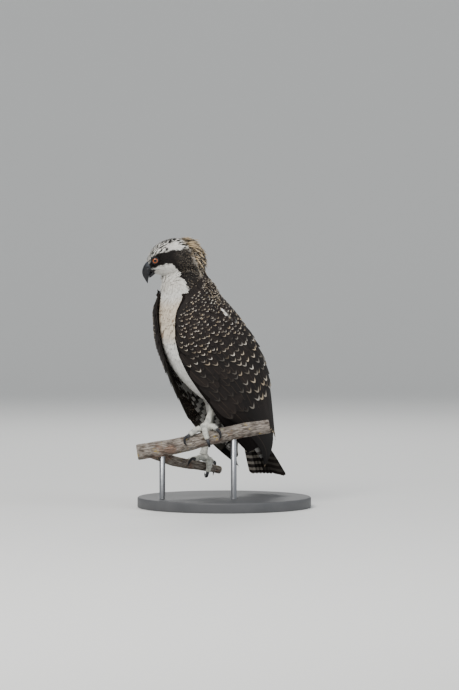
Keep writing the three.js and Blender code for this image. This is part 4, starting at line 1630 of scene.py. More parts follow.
@dataclass
class Wing:
    """A folded wing: outer coverts in tiers, flight feathers, lining and core."""

    side: Side
    tracts: tuple[Tract, ...] = (
        Tract((-113, -52), (0.02, 1.0), (4.8, 6.4), (12, 17), (6.8, 9.5), 1.2, 0.95),
        Tract((-54, -14), (0.015, 0.78), (7.6, 9.0), (20, 26), (11, 13.5), 1.8, 0.95),
        Tract((-16, 34), (0.02, 0.72), (12, 14.5), (34, 46), (17, 19), 2.3, 0.95),
        Tract((-58, 44), (0.72, 0.99), (13, 17), (34, 52), (17, 22), 2.5, 0.9),
        Tract((36, 74), (0.03, 0.97), (15, 17), (50, 60), (19, 21), 2.6, 0.8),
    )
    flecks: tuple[tuple[float, float], ...] = ((-48, 0.61), (-25, 0.62), (4, 0.64))

    def __post_init__(self) -> None:
        """Start the seeded randomness of this wing."""
        self.rng = np.random.default_rng(130 + self.side.value)
        self.surface = WingSurface(self.side)

    def build(self, feathers: Material, flight: Material, skin: Material) -> None:
        """Make the core, the coverts, the flight feathers and the lining.

        Args:
            feathers: Look of small feathers.
            flight: Look of flight feathers.
            skin: Look of the skin.
        """
        self._core(skin)
        coverts = [self._coverts(tract) for tract in self.tracts]
        pieces = {
            "coverts": (Fabric.joined(coverts + [self._front_edge()]), feathers),
            "flight": (self._flight(), flight),
            "lining": (self._lining(), flight),
        }
        for name, (fabric, material) in pieces.items():
            add_piece(f"{name}_{self.side.label}", fabric, material, "feathers_dark")

    def _core(self, skin: Material) -> None:
        """Closed shell between the outer face, sunk under the feathers, and the inner face.

        Args:
            skin: Look of the skin.
        """
        rows, columns = 90, 40
        l, share = np.meshgrid(
            np.linspace(-103, 206, rows), np.linspace(0.0, 1.0, columns), indexing="ij"
        )
        front = self.surface.point(l, share, -1.6 + 0 * l)
        depth = np.maximum(self.surface.thickness(l, share) - 0.4, 2.0)
        rings = np.concatenate([front, self.surface.point(l, share, -depth)[:, ::-1]], axis=1)
        inner = np.concatenate([np.zeros_like(l), np.ones_like(l)], axis=1)
        if self.side is Side.LEFT:
            rings, inner = rings[:, ::-1], inner[:, ::-1]
        fabric = tube(rings, False)
        pale = np.concatenate([inner.ravel(), [0.5, 0.5]]) * 0.16
        fabric.colours["plume"] = with_alpha(blend(DARKER, GREY, pale), 1.0)
        across = np.tile(np.linspace(0, 1, 2 * columns), rows)
        down = np.repeat(np.linspace(0.01, 0.99, rows), 2 * columns)
        chart = np.stack([0.01 + 0.98 * across, down], axis=1)
        fabric.charts["OFBake"] = np.concatenate([chart, [[0.5, 0.005], [0.5, 0.995]]])
        label = self.side.label
        add_piece(f"wing_core_{label}", fabric, skin, "feathers_dark", f"wing_{label}")

    def _drape(
        self, root: Pair, end: Pair, width: Level, height: tuple[Level, Level], colours: Pair,
        shape: tuple[Tip, int, int], inner: bool = False,
    ) -> Fabric:
        """Feathers laid on the wing's own surface between two of its places.

        A place at v along and a across lies at the mix of root and end, moved sideways by a
        times the half width, and raised from the first height to the second as v grows.

        Args:
            root: Station and share of each root.
            end: Station and share of each tip.
            width: Full width of each feather.
            height: Height over the surface at root and tip.
            colours: Base and edge colours with their alphas.
            shape: Tip, steps along and steps across.
            inner: Whether they lie on the inner face.

        Returns:
            The arrays of the feathers.
        """
        tip, rows, columns = shape
        v = tip_rows(rows, 1.9)
        a = np.linspace(-1, 1, columns + 1)
        outline = vane_outline(tip, v, 0.62, 1.2)[None, :, None]
        sweep, aside, wide = v[None, :, None], a[None, None, :], column(width)
        l = column(root[0]) * (1 - sweep) + column(end[0]) * sweep
        t = column(root[1]) * (1 - sweep) + column(end[1]) * sweep
        stretch = self.surface.stretch(np.minimum(l, OUTER_END), np.clip(t, 0.0, 1.0))
        l = l + 0 * a
        share = t + 0.5 * wide * outline * aside / np.maximum(stretch, LEAST_STRETCH)
        rise = column(height[0]) * (1 - sweep) + column(height[1]) * sweep
        web = -0.05 * (0.5 * wide * aside * outline) ** 2 / wide
        level = rise + (-1 if inner else 1) * (web * 2 + 0.55 * aside)
        if inner:
            inside = np.minimum(l, INNER_END)
            level = -self.surface.thickness(inside, np.clip(share, 0, 1)) - level
        points = self.surface.point(l, share, level)
        across, down = 0.9 * np.clip(root[1], 0, 1), 0.9 * (root[0] - WING_FRONT) / 300
        if (self.side is Side.LEFT) == inner:
            points = points[:, :, ::-1]
        spot = np.clip(np.stack([0.03 + across, 0.03 + down], axis=1), 0.01, 0.98)
        return vane_fabric(points, spot, *colours, v, a)

    def _coverts(self, tract: Tract) -> Fabric:
        """Small overlapping feathers in staggered rows, palest along their tips.

        Args:
            tract: The run of feathers.

        Returns:
            The arrays of the run.
        """
        stations, shares = [], []
        l, k = tract.l[0], 0
        reach, middle = tract.t[1] - tract.t[0], (tract.t[0] + tract.t[1]) / 2
        while l < tract.l[1]:
            done = tract.share(l)
            pitch, width = tract.between(tract.pitch, done), tract.between(tract.width, done)
            span = float(self.surface.stretch(np.array(l), np.array(middle))) * reach
            count = max(int(span / (width * OVERLAP)), 2)
            shares.append(tract.t[0] + (np.arange(count) + 0.25 + 0.5 * (k % 2)) / count * reach)
            stations.append(l + self.rng.normal(scale=pitch * 0.12, size=count))
            l, k = l + pitch, k + 1
        station, share = np.concatenate(stations), np.concatenate(shares)
        share = share + self.rng.normal(scale=0.008, size=len(share))
        keep = station > -113 + 16 * np.clip(1 - share / 0.3, 0, 1) ** 2
        station, share = station[keep], share[keep]
        count = len(share)
        done = np.clip(tract.share(station), 0, 1)
        length = tract.between(tract.length, done) * self.rng.uniform(0.92, 1.12, count)
        lean = np.interp(share, [0, 0.3, 1], [0.05, 0.02, -0.015])
        lean = lean + self.rng.normal(scale=0.008, size=count)
        high = tract.lift * self.rng.uniform(0.75, 1.25, count)
        plain = smooth(0.42, 0.26, share) * smooth(-30, 0, station)
        strength = np.clip(self.rng.uniform(-0.1, 1.15, count), 0, 1)
        strength = tract.tip_strength * (1 - 0.95 * plain) * strength
        base = blend(DARK, DARKER, self.rng.random(count))
        edge = blend(BUFF, WHITE, self.rng.random(count) * 0.7)
        for at_l, at_t in self.flecks:
            away = np.hypot((station + length * 0.8 - at_l) / 7, (share - at_t) / 0.012)
            fleck = np.clip(1.5 - away, 0, 1)
            base, strength = blend(base, WHITE, fleck), np.maximum(strength, fleck)
        colours = (with_alpha(base, 0.0), with_alpha(edge, strength))
        end, width = (station + length, share + lean), tract.between(tract.width, done)
        return self._drape((station, share), end, width, (-1.6, high), colours, (Tip.ROUND, 8, 6))

    def _flight(self) -> Fabric:
        """Secondaries and tertials over the primaries, each edge lying over the next feather.

        Returns:
            The feathers.
        """
        count = 13
        row = np.linspace(0, 1, count)
        root = (68 + 6 * np.sin(row * math.pi), 0.1 + 0.84 * row)
        tips = np.interp(row, [0, 0.5, 1], [150, 196, 226]) + self.rng.uniform(-2, 2, count)
        base = blend(DARKER, DARK, self.rng.random(count))
        colours = (with_alpha(base, 0.0), with_alpha(BUFF, 0.55, count))
        upper = self._drape(
            root, (tips, 0.2 + 0.68 * row), 25.0, (-0.6, 1.2 + 1.0 * row), colours,
            (Tip.ROUND, 14, 6),
        )
        count = 8
        row = np.linspace(0, 1, count)
        droop = 0.42 if self.side is Side.LEFT else 0.1
        colours = (with_alpha(DARKER * 0.85, 0.0, count), with_alpha(BUFF, 0.35, count))
        lower = self._drape(
            (98 + 34 * row, 0.08 + 0.2 * row), (252 - 44 * row, droop + (0.72 - droop) * row),
            22.0, (-0.4 - 0.2 * row, 0.9 - 2.0 * row), colours, (Tip.ROUND, 16, 6),
        )
        return Fabric.joined([upper, lower])

    @staticmethod
    def _staggered(l: Array, t: Array, shift: float) -> Pair:
        """Stations and shares of a grid of roots, every other row moved over.

        Args:
            l: Stations down the wing.
            t: Shares across it.
            shift: Share moved over.

        Returns:
            Stations and shares.
        """
        station, share = np.meshgrid(l, t, indexing="ij")
        share = share + (np.arange(len(l)) % 2)[:, None] * shift
        return station.ravel(), share.ravel()

    def _lining(self) -> Fabric:
        """Inner face: white coverts above, barred grey undersides of the flight feathers below.

        Returns:
            The feathers.
        """
        station, share = self._staggered(
            np.arange(-96, 70, 11.0), np.linspace(0.13, 0.82, 9), 0.05
        )
        dark = (self.rng.random(len(station)) > 0.8) * 0.5
        edge = with_alpha(blend(GREY, BUFF, dark), 0.3 + 0.6 * dark)
        colours = (with_alpha(blend(WHITE * 0.8, DARK, dark), 0.0), edge)
        end, shape = (station + 26, share), (Tip.ROUND, 5, 4)
        small = self._drape((station, share), end, 15.0, (-1.0, 1.4), colours, shape, True)
        count = 14
        row = np.linspace(0, 1, count)
        root = (62 + 40 * (1 - row), 0.08 + 0.78 * row)
        end = (np.interp(row, [0, 0.5, 1], [236, 214, 206]), 0.3 + 0.5 * row)
        base = blend(WHITE * 0.95, DARK, smooth(0.07, 0.0, row) * 0.7)
        colours = (with_alpha(base, 0.85), with_alpha(DARK * 1.6, 0.3, count))
        large = self._drape(root, end, 21.0, (-0.6, 0.6), colours, (Tip.BLUNT, 12, 6), True)
        return Fabric.joined([small, large])

    def _front_edge(self) -> Fabric:
        """Small spotted feathers that turn over the front edge onto the inner face.

        Returns:
            The feathers.
        """
        station, share = self._staggered(
            np.arange(-110, 120, 6.4), np.linspace(0.015, 0.15, 5), 0.02
        )
        count = len(station)
        station = station + self.rng.normal(scale=1.0, size=count)
        edge = blend(BUFF, WHITE, self.rng.random(count) * 0.5)
        strength = self.rng.uniform(0.3, 1.0, count)
        colours = (with_alpha(DARK, 0.0, count), with_alpha(edge, strength))
        end = (station + self.rng.uniform(15, 19, count), share + 0.01)
        return self._drape(
            (station, share), end, 8.5, (-0.4, 2.0), colours, (Tip.ROUND, 6, 4), True
        )


@dataclass
class Tail:
    """Twelve fanned tail feathers and the coverts over and under their roots."""

    end: float = 292.0
    top: float = 23.0
    step: float = 1.3
    pairs: int = 6

    def build(self, feathers: Material, flight: Material) -> None:
        """Make the fan and its coverts.

        Args:
            feathers: Look of small feathers.
            flight: Look of flight feathers.
        """
        rng = np.random.default_rng(9)
        order = product((1, -1), range(self.pairs), (0, 1))
        fan = Fabric.joined([self._vane(side, k, face) for side, k, face in order])
        add_piece("tail_feathers", fan, flight, "feathers_dark", "tail")
        coverts = Fabric.joined([self._coverts(rng, upper) for upper in (True, False)])
        add_piece("tail_coverts", coverts, feathers, "feathers_dark")

    def _vane(self, side: int, k: int, face: int) -> Fabric:
        """One face of a tail feather, flat, narrow at its root and blunt at its tip.

        Args:
            side: 1 for the left half of the fan, -1 for the right.
            k: Number from the middle outwards.
            face: 0 for the upper face, 1 for the lower.

        Returns:
            The arrays of the face.
        """
        v = np.linspace(0, 1, 25) ** 0.85
        a = np.linspace(-1, 1, 7)
        layer = self.top - self.step * (0 if k == 0 and side > 0 else k + 1)
        past = np.clip((v - 0.93) / 0.07, 0, 1)
        outline = np.clip(1 - past**2.2, 0, 1) ** 0.5
        half = (5 + 3.7 * np.minimum(1, 1.5 * v)) * outline
        middle = (1.5 + 2.6 * k) * (1 - v) + (3.6 + 6.7 * k) * v
        l = (186 * (1 - v) + (self.end - 0.9 * k) * v)[:, None] + 0 * a
        across = side * (middle[:, None] + half[:, None] * a)
        level = layer - 0.12 * k * k * v[:, None] - 0.6 * a**2 - 0.55 * face
        level = level + 0.3 * np.cos(a * 3)
        points = TRUNK.place(l, across, level)[None]
        if (side > 0) == (face == 1):
            points = points[:, :, ::-1]
        plume = with_alpha(DARK[None] * (1.35 if face else 0.9), 0.9 if face else 0.3)
        # Under face: most feathers' pale bars are darkened to GREY * 0.22 as painted shade under
        # the tail; the outer right feathers keep pale grey bars
        under = GREY if side < 0 and k > 2 else GREY * 0.22
        edge = with_alpha(under[None] if face else BUFF[None] * 0.6, 0.9)
        spot = np.array([[0.5 + side * (0.03 + 0.06 * k), 0.3 + 0.4 * face]])
        return vane_fabric(points, spot, plume, edge, v, a)

    def _coverts(self, rng: np.random.Generator, upper: bool) -> Fabric:
        """Overlapping feathers that bridge the rump or the vent and the fan.

        Args:
            rng: Source of randomness.
            upper: Whether they lie over the tail or under it.

        Returns:
            The arrays of the coverts.
        """
        count = 60
        l = rng.uniform(150, 200, count)
        spread = rng.uniform(-1, 1, count)
        half, middle, depth, _ = TRUNK_OVAL.section(l)
        sign = 1 if upper else -1
        deep = middle + sign * depth * np.sqrt(1 - (0.85 * spread) ** 2)
        root = TRUNK.place(l, spread * half * 0.85, deep - sign * 1.0)
        target = TRUNK.place(l + 46, spread * half * 0.95, self.top + 1.6 if upper else 12.5)
        lie = unit(target - root)
        out = sign * unit(TO_BACK[None] * 0.8 + sign * TO_LEFT[None] * spread[:, None] * 0.5)
        out = unit(out - lie * dot(out, lie))
        length = rng.uniform(30, 44, count)
        base = (DARK if upper else WHITE) * rng.uniform(0.85, 1.1, (count, 1))
        edge = with_alpha(BUFF, 0.8 if upper else 0.0, count)
        level = (0.75 if upper else 0.05) + 0.2 * (l - 150) / 50
        spot = np.stack([0.1 + 0.8 * (spread + 1) / 2, level], axis=1)
        plume = with_alpha(base, 0.0)
        width = length * 0.46
        vanes = Vanes(root, lie, out, length, width, spot, plume, edge, 1.0, 1.0, 0.001, 0.03)
        return vanes.fabric()


@dataclass(frozen=True)
class Grip:
    """A round limb that a foot holds: its middle, direction and radius."""

    middle: Triple
    along: Triple
    radius: float

    def point(self, s: float, angle: float, reach: float) -> Array:
        """Place s along the limb, at an angle from its top towards the viewer, off its axis.

        Args:
            s: Place along the limb.
            angle: Angle from the top in degrees.
            reach: Distance from the axis.

        Returns:
            The place.
        """
        along = np.array(self.along)
        up = unit(np.array([0, 0, 1]) - along * along[2])
        front = -np.cross(up, along)
        turn = angle * DEGREE
        place = np.array(self.middle) + along * s + up * reach * math.cos(turn)
        return place + front * reach * math.sin(turn)

    def path(self, stations: Rows) -> list[Array]:
        """Places over the bark for rows of s, angle and height."""
        return [self.point(s, angle, self.radius + height) for s, angle, height in stations]


PERCH_RISE = 12 * DEGREE
PERCH_LEVEL = math.cos(PERCH_RISE) * math.sqrt(0.5)
PERCH_ALONG = (PERCH_LEVEL, PERCH_LEVEL, math.sin(PERCH_RISE))
PERCH_MIDDLE = (24.5, -24.5, 9.0)
FORK_MIDDLE = (-24.4, 14.6, -42.0)
FORK_END = (-18.5, 50.0, -50.0)
FORK_ALONG = tuple(unit(np.array(FORK_END) - np.array(FORK_MIDDLE)))
GRIPS = {
    Side.LEFT: Grip(PERCH_MIDDLE, PERCH_ALONG, 13.5),
    Side.RIGHT: Grip(FORK_MIDDLE, FORK_ALONG, 8.5),
}
# For each toe, then its claw: rows of place along the limb, angle round it and height over it
TOES = {
    Side.LEFT: {
        "inner": (
            [[-8, 6, 6.6], [-17, 20, 6], [-27, 42, 5]],
            [[-28.5, 46, 5], [-36, 62, 7], [-38, 84, 4.4], [-35, 102, 1.6]],
        ),
        "middle": (
            [[0, 30, 7], [0, 58, 6.2], [1, 88, 5]],
            [[1, 92, 5], [2, 112, 7.5], [2, 134, 5], [0, 152, 1.6]],
        ),
        "outer": (
            [[8, 6, 6.6], [15, 18, 6], [20, 42, 5]],
            [[20.8, 46, 5], [24, 66, 7.5], [24, 90, 5], [20, 110, 1.6]],
        ),
        "hind": (
            [[0, -30, 7], [0, -56, 6.2], [0, -82, 5]],
            [[0, -86, 5], [0, -106, 8], [0, -130, 6], [0, -150, 1.8]],
        ),
    },
    Side.RIGHT: {
        "inner": (
            [[-8, 22, 6.6], [-16, 30, 6], [-26, 48, 5]],
            [[-27.5, 52, 5], [-36, 62, 7.5], [-40, 92, 5], [-37, 124, 1.6]],
        ),
        "middle": (
            [[1, 50, 7], [2, 84, 6.4], [4, 124, 5]],
            [[4.5, 130, 5], [7, 160, 8], [10, 190, 7], [10, 216, 3]],
        ),
        "outer": (
            [[-7, -36, 6.6], [-14, -50, 6], [-24, -66, 5]],
            [[-25.4, -70, 5], [-33, -88, 8], [-36, -116, 7], [-34, -142, 3]],
        ),
        "hind": (
            [[8, -14, 6.8], [15, -20, 6.2], [22, -32, 5.6]],
            [[23.4, -36, 5.6], [33, -50, 9], [36, -96, 9], [31, -140, 6]],
        ),
    },
}
THIGHS = {
    Side.LEFT: [[28, 24, 126], [26, 12, 103], [21, -4, 76]],
    Side.RIGHT: [[-28, 40, 118], [-25, 37, 92], [-21.6, 33, 54]],
}
SHANKS = {
    Side.LEFT: [[20.8, -4.8, 75], [20.4, -12, 52], [23.6, -24.4, 31]],
    Side.RIGHT: [[-21.6, 32.6, 53], [-22.4, 26, 16], [-24.4, 15, -22]],
}


@dataclass
class Leg:
    """A leg: feathered thigh, scaly shank and palm, four toes and their claws."""

    side: Side

    def build(self, feathers: Material, skin: Material, scales: Material, horn: Material) -> None:
        """Make every piece of the leg.

        Args:
            feathers: Look of small feathers.
            skin: Look of the skin.
            scales: Look of scales.
            horn: Look of horn.
        """
        self._thigh(feathers, skin)
        grip, label = GRIPS[self.side], self.side.label
        shank = Fabric.joined([self._shank(), self._palm(grip)])
        add_piece(f"shank_{label}", shank, scales, "foot_skin", f"tarsus_{label}")
        for name, (toe, claw) in TOES[self.side].items():
            name = f"{label}_{name}"
            flesh, point = self._toe(grip, toe), self._claw(grip, claw)
            add_piece(f"scaled_toe_{name}", flesh, scales, "foot_skin", f"toe_{name}")
            add_piece(f"horn_claw_{name}", point, horn, "claw", f"claw_{name}")

    def _thigh(self, feathers: Material, skin: Material) -> None:
        """White trousers: an oval limb and the short feathers that lie down it.

        Args:
            feathers: Look of small feathers.
            skin: Look of the skin.
        """
        steps, around = 26, 36
        label, path = self.side.label, THIGHS[self.side]
        thin = [[0, 25, 28], [0.4, 19, 23], [0.75, 10.5, 12.5], [1, 6, 6.4]]
        rings, _, _ = swept(path, TO_LEFT, thin, steps, around)
        fabric = tube(rings, False)
        fabric.colours["plume"] = with_alpha(WHITE * 0.9, 1.0, len(fabric.points))
        down = np.repeat(np.linspace(0.02, 0.98, steps), around)
        turn = np.tile(np.linspace(0.02, 0.98, around), steps)
        ends = [[0.5, 0.01], [0.5, 0.99]]
        fabric.charts["OFBake"] = np.concatenate([np.stack([turn, down], axis=1), ends])
        add_piece(f"thigh_skin_{label}", fabric, skin, "feathers_pale", f"thigh_{label}")
        around = 22
        count = steps * around
        sizes = [[0, 27, 30], [0.4, 21, 25], [0.75, 12.5, 14.5], [1, 8, 8.4]]
        rings, out, _ = swept(path, TO_LEFT, sizes, steps, around)
        run = unit(np.gradient(rings, axis=0))
        rng = np.random.default_rng(21 + self.side.value)
        root = rings.reshape(-1, 3) + rng.normal(scale=1.0, size=(count, 3))
        out = unit(out.reshape(-1, 3))
        lie = unit(run.reshape(-1, 3) + rng.normal(scale=0.08, size=(count, 3)))
        out = unit(out - lie * dot(out, lie))
        down = np.repeat(np.linspace(0, 1, steps), around)
        length = np.interp(down, [0, 0.7, 1], [20, 15, 9]) * rng.uniform(0.85, 1.15, count)
        turn = np.tile(np.linspace(0.03, 0.95, around), steps)
        spot = np.stack([turn, 0.03 + 0.93 * down], axis=1)
        plume = with_alpha(WHITE[None] * rng.uniform(0.86, 1.04, (count, 1)), 0.0)
        edge = with_alpha(WHITE, 0.0, count)
        vanes = Vanes(
            root, lie, out, length, length * 0.5, spot, plume, edge, 0.4, 2.2, 0.004, 0.03,
            Tip.ROUND, 5, 3,
        )
        add_piece(f"thigh_feathers_{label}", vanes.fabric(), feathers, "feathers_pale")

    def _shank(self) -> Fabric:
        """Straight shank, whose rings swell and shrink a little as rows of scales.

        Returns:
            The shank.
        """
        sizes = [[0, 6.3, 6.5], [0.2, 5.2, 5.6], [0.75, 5.0, 5.4], [1, 7.0, 7.0]]
        rings, out, angle = swept(SHANKS[self.side], TO_LEFT, sizes, 90, 40)
        share = np.linspace(0, 1, 90)[:, None]
        scale = 0.22 * np.abs(np.sin(share * 46 + np.cos(angle)[None] * 0.5)) - 0.1
        return tube(rings + out * scale[..., None] + out * 0.25 * ripple(rings, 6, 3)[..., None])

    def _palm(self, grip: Grip) -> Fabric:
        """Rounded palm, a ball flattened towards the bark.

        Args:
            grip: The hold on its limb.

        Returns:
            The palm.
        """
        polar, turn = np.meshgrid(np.linspace(0.02, math.pi - 0.02, 24), circle(36), indexing="ij")
        level = np.sin(polar)
        away = np.stack([level * np.cos(turn), -level * np.sin(turn), np.cos(polar)], axis=-1)
        reach = 7.7 + 0.3 * ripple(away * 8, 4, 8)[..., None]
        return tube(grip.point(0, 0, grip.radius + 7.2) + away * reach)

    @staticmethod
    def _toe(grip: Grip, stations: Rows) -> Fabric:
        """Toe with two joint swellings and a padded underside.

        Args:
            grip: The hold on its limb.
            stations: Places, reaches and radii.

        Returns:
            The toe.
        """
        sizes = [
            [0, 5.3, 5.3], [0.3, 4.7, 4.8], [0.5, 5.1, 5.1], [0.75, 4.2, 4.3], [0.9, 4.3, 4.4],
            [1, 3.4, 3.4],
        ]
        rings, out, angle = swept(grip.path(stations), np.array(grip.along), sizes, 48, 32)
        share = np.linspace(0, 1, 48)[:, None]
        scale = 0.2 * np.abs(np.sin(share * 24)) * (0.5 + 0.5 * np.sin(angle))[None]
        return tube(rings + out * scale[..., None] + out * 0.2 * ripple(rings, 3.5, 6)[..., None])

    @staticmethod
    def _claw(grip: Grip, stations: Rows) -> Fabric:
        """Strongly curved round claw that tapers to a point."""
        sizes = [[0, 3.0, 3.0], [0.35, 2.5, 2.7], [0.75, 1.4, 1.5], [1, 0.3, 0.3]]
        return limb(grip.path(stations), np.array(grip.along), sizes, 30, 18)


@dataclass
class Face:
    """Eyes, lids, bill and gape."""

    def build(self, horn: Material, lid: Material) -> None:
        """Make every piece of the face.

        Args:
            horn: Look of horn.
            lid: Look of the lids.
        """
        for side in Side:
            self._eye(side, lid)
        self._bill(horn)
        add_piece("gape", Fabric.joined([self._gape(side) for side in Side]), lid, "bill")

    def _eye(self, side: Side, lid: Material) -> None:
        """Ball with a low cornea, and the ring of its lids under a slight brow.

        Args:
            side: Which eye.
            lid: Finish of the lids.
        """
        f, s, v = EYE_PLACE
        centre = HEAD.place(f, side.value * s, v)
        axis = unit(HEAD_LEFT * side.value + 0.24 * FORWARD + 0.02 * HEAD_UP)
        across = unit(np.cross(HEAD_UP, axis))
        up = np.cross(axis, across)
        polar, turn = np.meshgrid(np.linspace(0.01, math.pi - 0.01, 48), circle(64), indexing="ij")
        bulge = EYE_RADIUS + 0.25 * np.exp(-((polar / 0.55) ** 2))
        round_it = across * np.cos(turn)[..., None] - up * np.sin(turn)[..., None]
        away = axis * np.cos(polar)[..., None] + round_it * np.sin(polar)[..., None]
        ball = tube(centre + away * bulge[..., None])
        middle = tuple(float(c) for c in (centre + LIFT) * METRE)
        finish = EyeFinish(f"eye_{side.label}_wet", middle, tuple(float(c) for c in axis))
        node = f"eye_{side.label}"
        add_piece(f"eyeball_{side.label}", ball, finish.material(), "eye", node)
        ring, wall = circle(96)[:, None], circle(20)[None]
        open_far = 4.7 + 0.5 * np.cos(2 * ring)
        brow = 0.9 * np.clip(np.sin(ring + 0.25), 0, 1) ** 2
        far = open_far + 1.15 + (1.2 + 0.25 * brow) * np.cos(wall)
        level = np.sqrt(np.maximum(EYE_RADIUS**2 - far**2, 0)) + 0.05 + (0.4 + brow) * np.sin(wall)
        points = centre + axis * level[..., None] + across * (far * np.cos(ring))[..., None]
        points = points + up * (far * np.sin(ring))[..., None]
        rim = Fabric(points.reshape(-1, 3), ring_quads(ring.size, wall.size))
        add_piece(f"lids_{side.label}", rim, lid, "bill")

    def _bill(self, horn: Material) -> None:
        """Hooked upper half over a shorter lower half, with nostril pits in the cere.

        Args:
            horn: Look of horn.
        """
        spine = [[38, 8.4], [45, 6], [51, 2.2], [54.8, -3], [57, -9], [59.4, -18]]
        path = [HEAD.place(f, 0, v) for f, v in spine]
        sizes = [
            [0, 8.5, 9.1], [0.2, 7.5, 8.7], [0.42, 5.9, 8.1], [0.62, 4.3, 6.4], [0.82, 2.5, 3.6],
            [1, 0.3, 0.4],
        ]
        rings, out, angle = swept(path, HEAD_LEFT, sizes, 110, 72)
        share = np.linspace(0, 1, 110)[:, None]
        side_on = np.abs(np.cos(angle))[None]
        flat = -0.55 * smooth(0.55, 0.95, side_on) * smooth(0.15, 0.5, share)
        f, s, v = HEAD.locate(rings)
        pit = np.exp(-(((f - 48.2) / 1.9) ** 2 + ((v - 6.6) / 1.1) ** 2)) * smooth(3, 5, np.abs(s))
        step = -0.35 * smooth(0.3, 0.33, share)
        height = (flat + step - 1.3 * pit)[..., None]
        # The nostril pits hold painted shade that darkens them almost to black
        upper = tube(rings + out * height, recess_shade=np.clip(pit * 1.6, 0, 1))
        add_piece("bill_top", upper, horn, "bill", "bill_upper")
        spine = [[34, -4.2], [41, -5.6], [47, -7.6], [52, -10.2]]
        path = [HEAD.place(f, 0, v) for f, v in spine]
        sizes = [[0, 6.9, 3.6], [0.4, 5.5, 3.4], [0.75, 3.7, 2.6], [1, 1.0, 0.7]]
        lower = limb(path, HEAD_LEFT, sizes, 50, 48)
        add_piece("bill_under", lower, horn, "bill", "bill_lower")

    @staticmethod
    def _gape(side: Side) -> Fabric:
        """Fleshy corner of the mouth, a thin tube from under the eye to the bill.

        Args:
            side: Side of the head.

        Returns:
            The tube.
        """
        spine = [[27, 15.2, -3.2], [33, 12.2, -2.6], [39, 9.6, -1.9], [44, 7.6, -1.6]]
        path = [HEAD.place(f, side.value * s, v) for f, s, v in spine]
        sizes = [[0, 0.5, 0.6], [0.35, 1.5, 1.7], [0.7, 2.0, 2.6], [1, 2.0, 3.0]]
        return limb(path, HEAD_LEFT, sizes, 24, 14)


@dataclass
class Perch:
    """The main limb and its lower fork, with furrowed bark and broken ends."""

    def build(self, bark: Material) -> None:
        """Make both lengths of branch.

        Args:
            bark: Look of bark.
        """
        middle, along = np.array(PERCH_MIDDLE), np.array(PERCH_ALONG)
        bends = ((-122, 2.5), (-60, -1), (0, 0), (55, 1.4), (110, -1))
        path = [middle + along * station + np.array([0, 0, bend]) for station, bend in bends]
        sizes = [[0, 14, 13.6], [0.25, 14, 13.6], [0.53, 13, 13], [0.8, 12.8, 12.4], [1, 12, 12]]
        limb = self._length(path, sizes, (260, 80), 4)
        add_piece("bark_limb", limb, bark, "bark", "perch_limb")
        path = [[-47, -90, -13], [-38, -42, -31], FORK_MIDDLE, FORK_END]
        sizes = [[0, 11, 11], [0.3, 9.4, 9.4], [0.72, 8, 8], [1, 7, 7]]
        fork = self._length(path, sizes, (170, 60), 5)
        add_piece("bark_fork", fork, bark, "bark", "perch_fork")

    @staticmethod
    def _length(path: Rows, sizes: Rows, grid: tuple[int, int], seed: int) -> Fabric:
        """Oval limb whose bark is raised by long furrows and soft lumps, flat across its ends.

        Args:
            path: Points along its middle.
            sizes: Half width and depth along it.
            grid: Rings along it and points round it.
            seed: Seed of the bark.

        Returns:
            The arrays of the limb.
        """
        rings, out, angle = swept(path, np.array([0.0, 0.0, 1.0]), sizes, *grid)
        share = np.linspace(0, 1, grid[0])[:, None]
        drift = np.broadcast_arrays(np.cos(angle) * 14, np.sin(angle) * 14, share * 60)
        drift = np.stack(drift, axis=-1)
        furrow = ripple(drift, 5.5, seed, 12)
        lump = ripple(rings, 34, seed + 1)
        fine = ripple(rings, 3.2, seed + 2, 12)
        low = smooth(0.25, 0.95, -furrow)
        height = -0.5 + 0.35 * lump - 0.7 * low + 0.16 * fine
        ends = smooth(0, 0.004, share) * smooth(1, 0.996, share)
        height = np.where(ends < 1, height - 0.8, height)
        # The furrows' depth also sets painted shade that darkens them
        return tube(rings + out * height[..., None], recess_shade=low)


@dataclass
class Stand:
    """Round base and two short rods."""

    radius: float = 150.0
    thickness: float = 18.0
    rod: float = 5.0
    stations: tuple[float, float] = (-78.0, 47.0)

    def build(self, base: Material, rods: Material) -> None:
        """Make the base and the rods.

        Args:
            base: Look of the base.
            rods: Look of the rods.
        """
        turn = circle(160)
        radius, top = self.radius, self.thickness
        bevel = np.linspace(0, math.pi / 2, 7)
        corner = np.stack([radius - 3 + 3 * np.cos(bevel), top - 3 + 3 * np.sin(bevel)], axis=1)
        under = [[4, 0], [radius - 1.6, 0], [radius - 0.5, 0.5], [radius, 1.6]]
        profile = np.concatenate([under, corner, [[radius - 6, top], [4, top]]])
        fabric = self._turned(profile[::-1], -turn, -LIFT)
        piece = add_piece("turned_base", fabric, base, "stand_base", "stand_base")
        faces = len(piece.data.polygons)
        piece.data.polygons.foreach_set("use_smooth", np.arange(faces) < faces - 2 * len(turn))
        for number, station in enumerate(self.stations, 1):
            hold = np.array(PERCH_MIDDLE) + np.array(PERCH_ALONG) * station
            low, high = top + 0.3 - LIFT[2], hold[2] - 9.5
            levels = np.array([low, low + 0.4, low + 0.4, high - 0.3, high])
            sizes = np.array([self.rod - 0.4, self.rod, self.rod, self.rod, self.rod - 0.3])
            profile = np.stack([sizes, levels], axis=1)
            rod = self._turned(profile, circle(48), np.array([hold[0], hold[1], 0]))
            add_piece(f"steel_rod_{number}", rod, rods, "stand_rod", f"stand_rod_{number}")

    @staticmethod
    def _turned(profile: Array, turn: Array, middle: Array) -> Fabric:
        """Round solid about an upright axis, from rows of radius and level.

        Args:
            profile: Radius and level of each ring.
            turn: Angles round it.
            middle: A place on the axis.

        Returns:
            The solid.
        """
        reach, level = profile[:, :1], profile[:, 1:]
        rings = np.stack([reach * np.cos(turn), reach * np.sin(turn), level + 0 * turn], axis=-1)
        return tube(middle + rings)


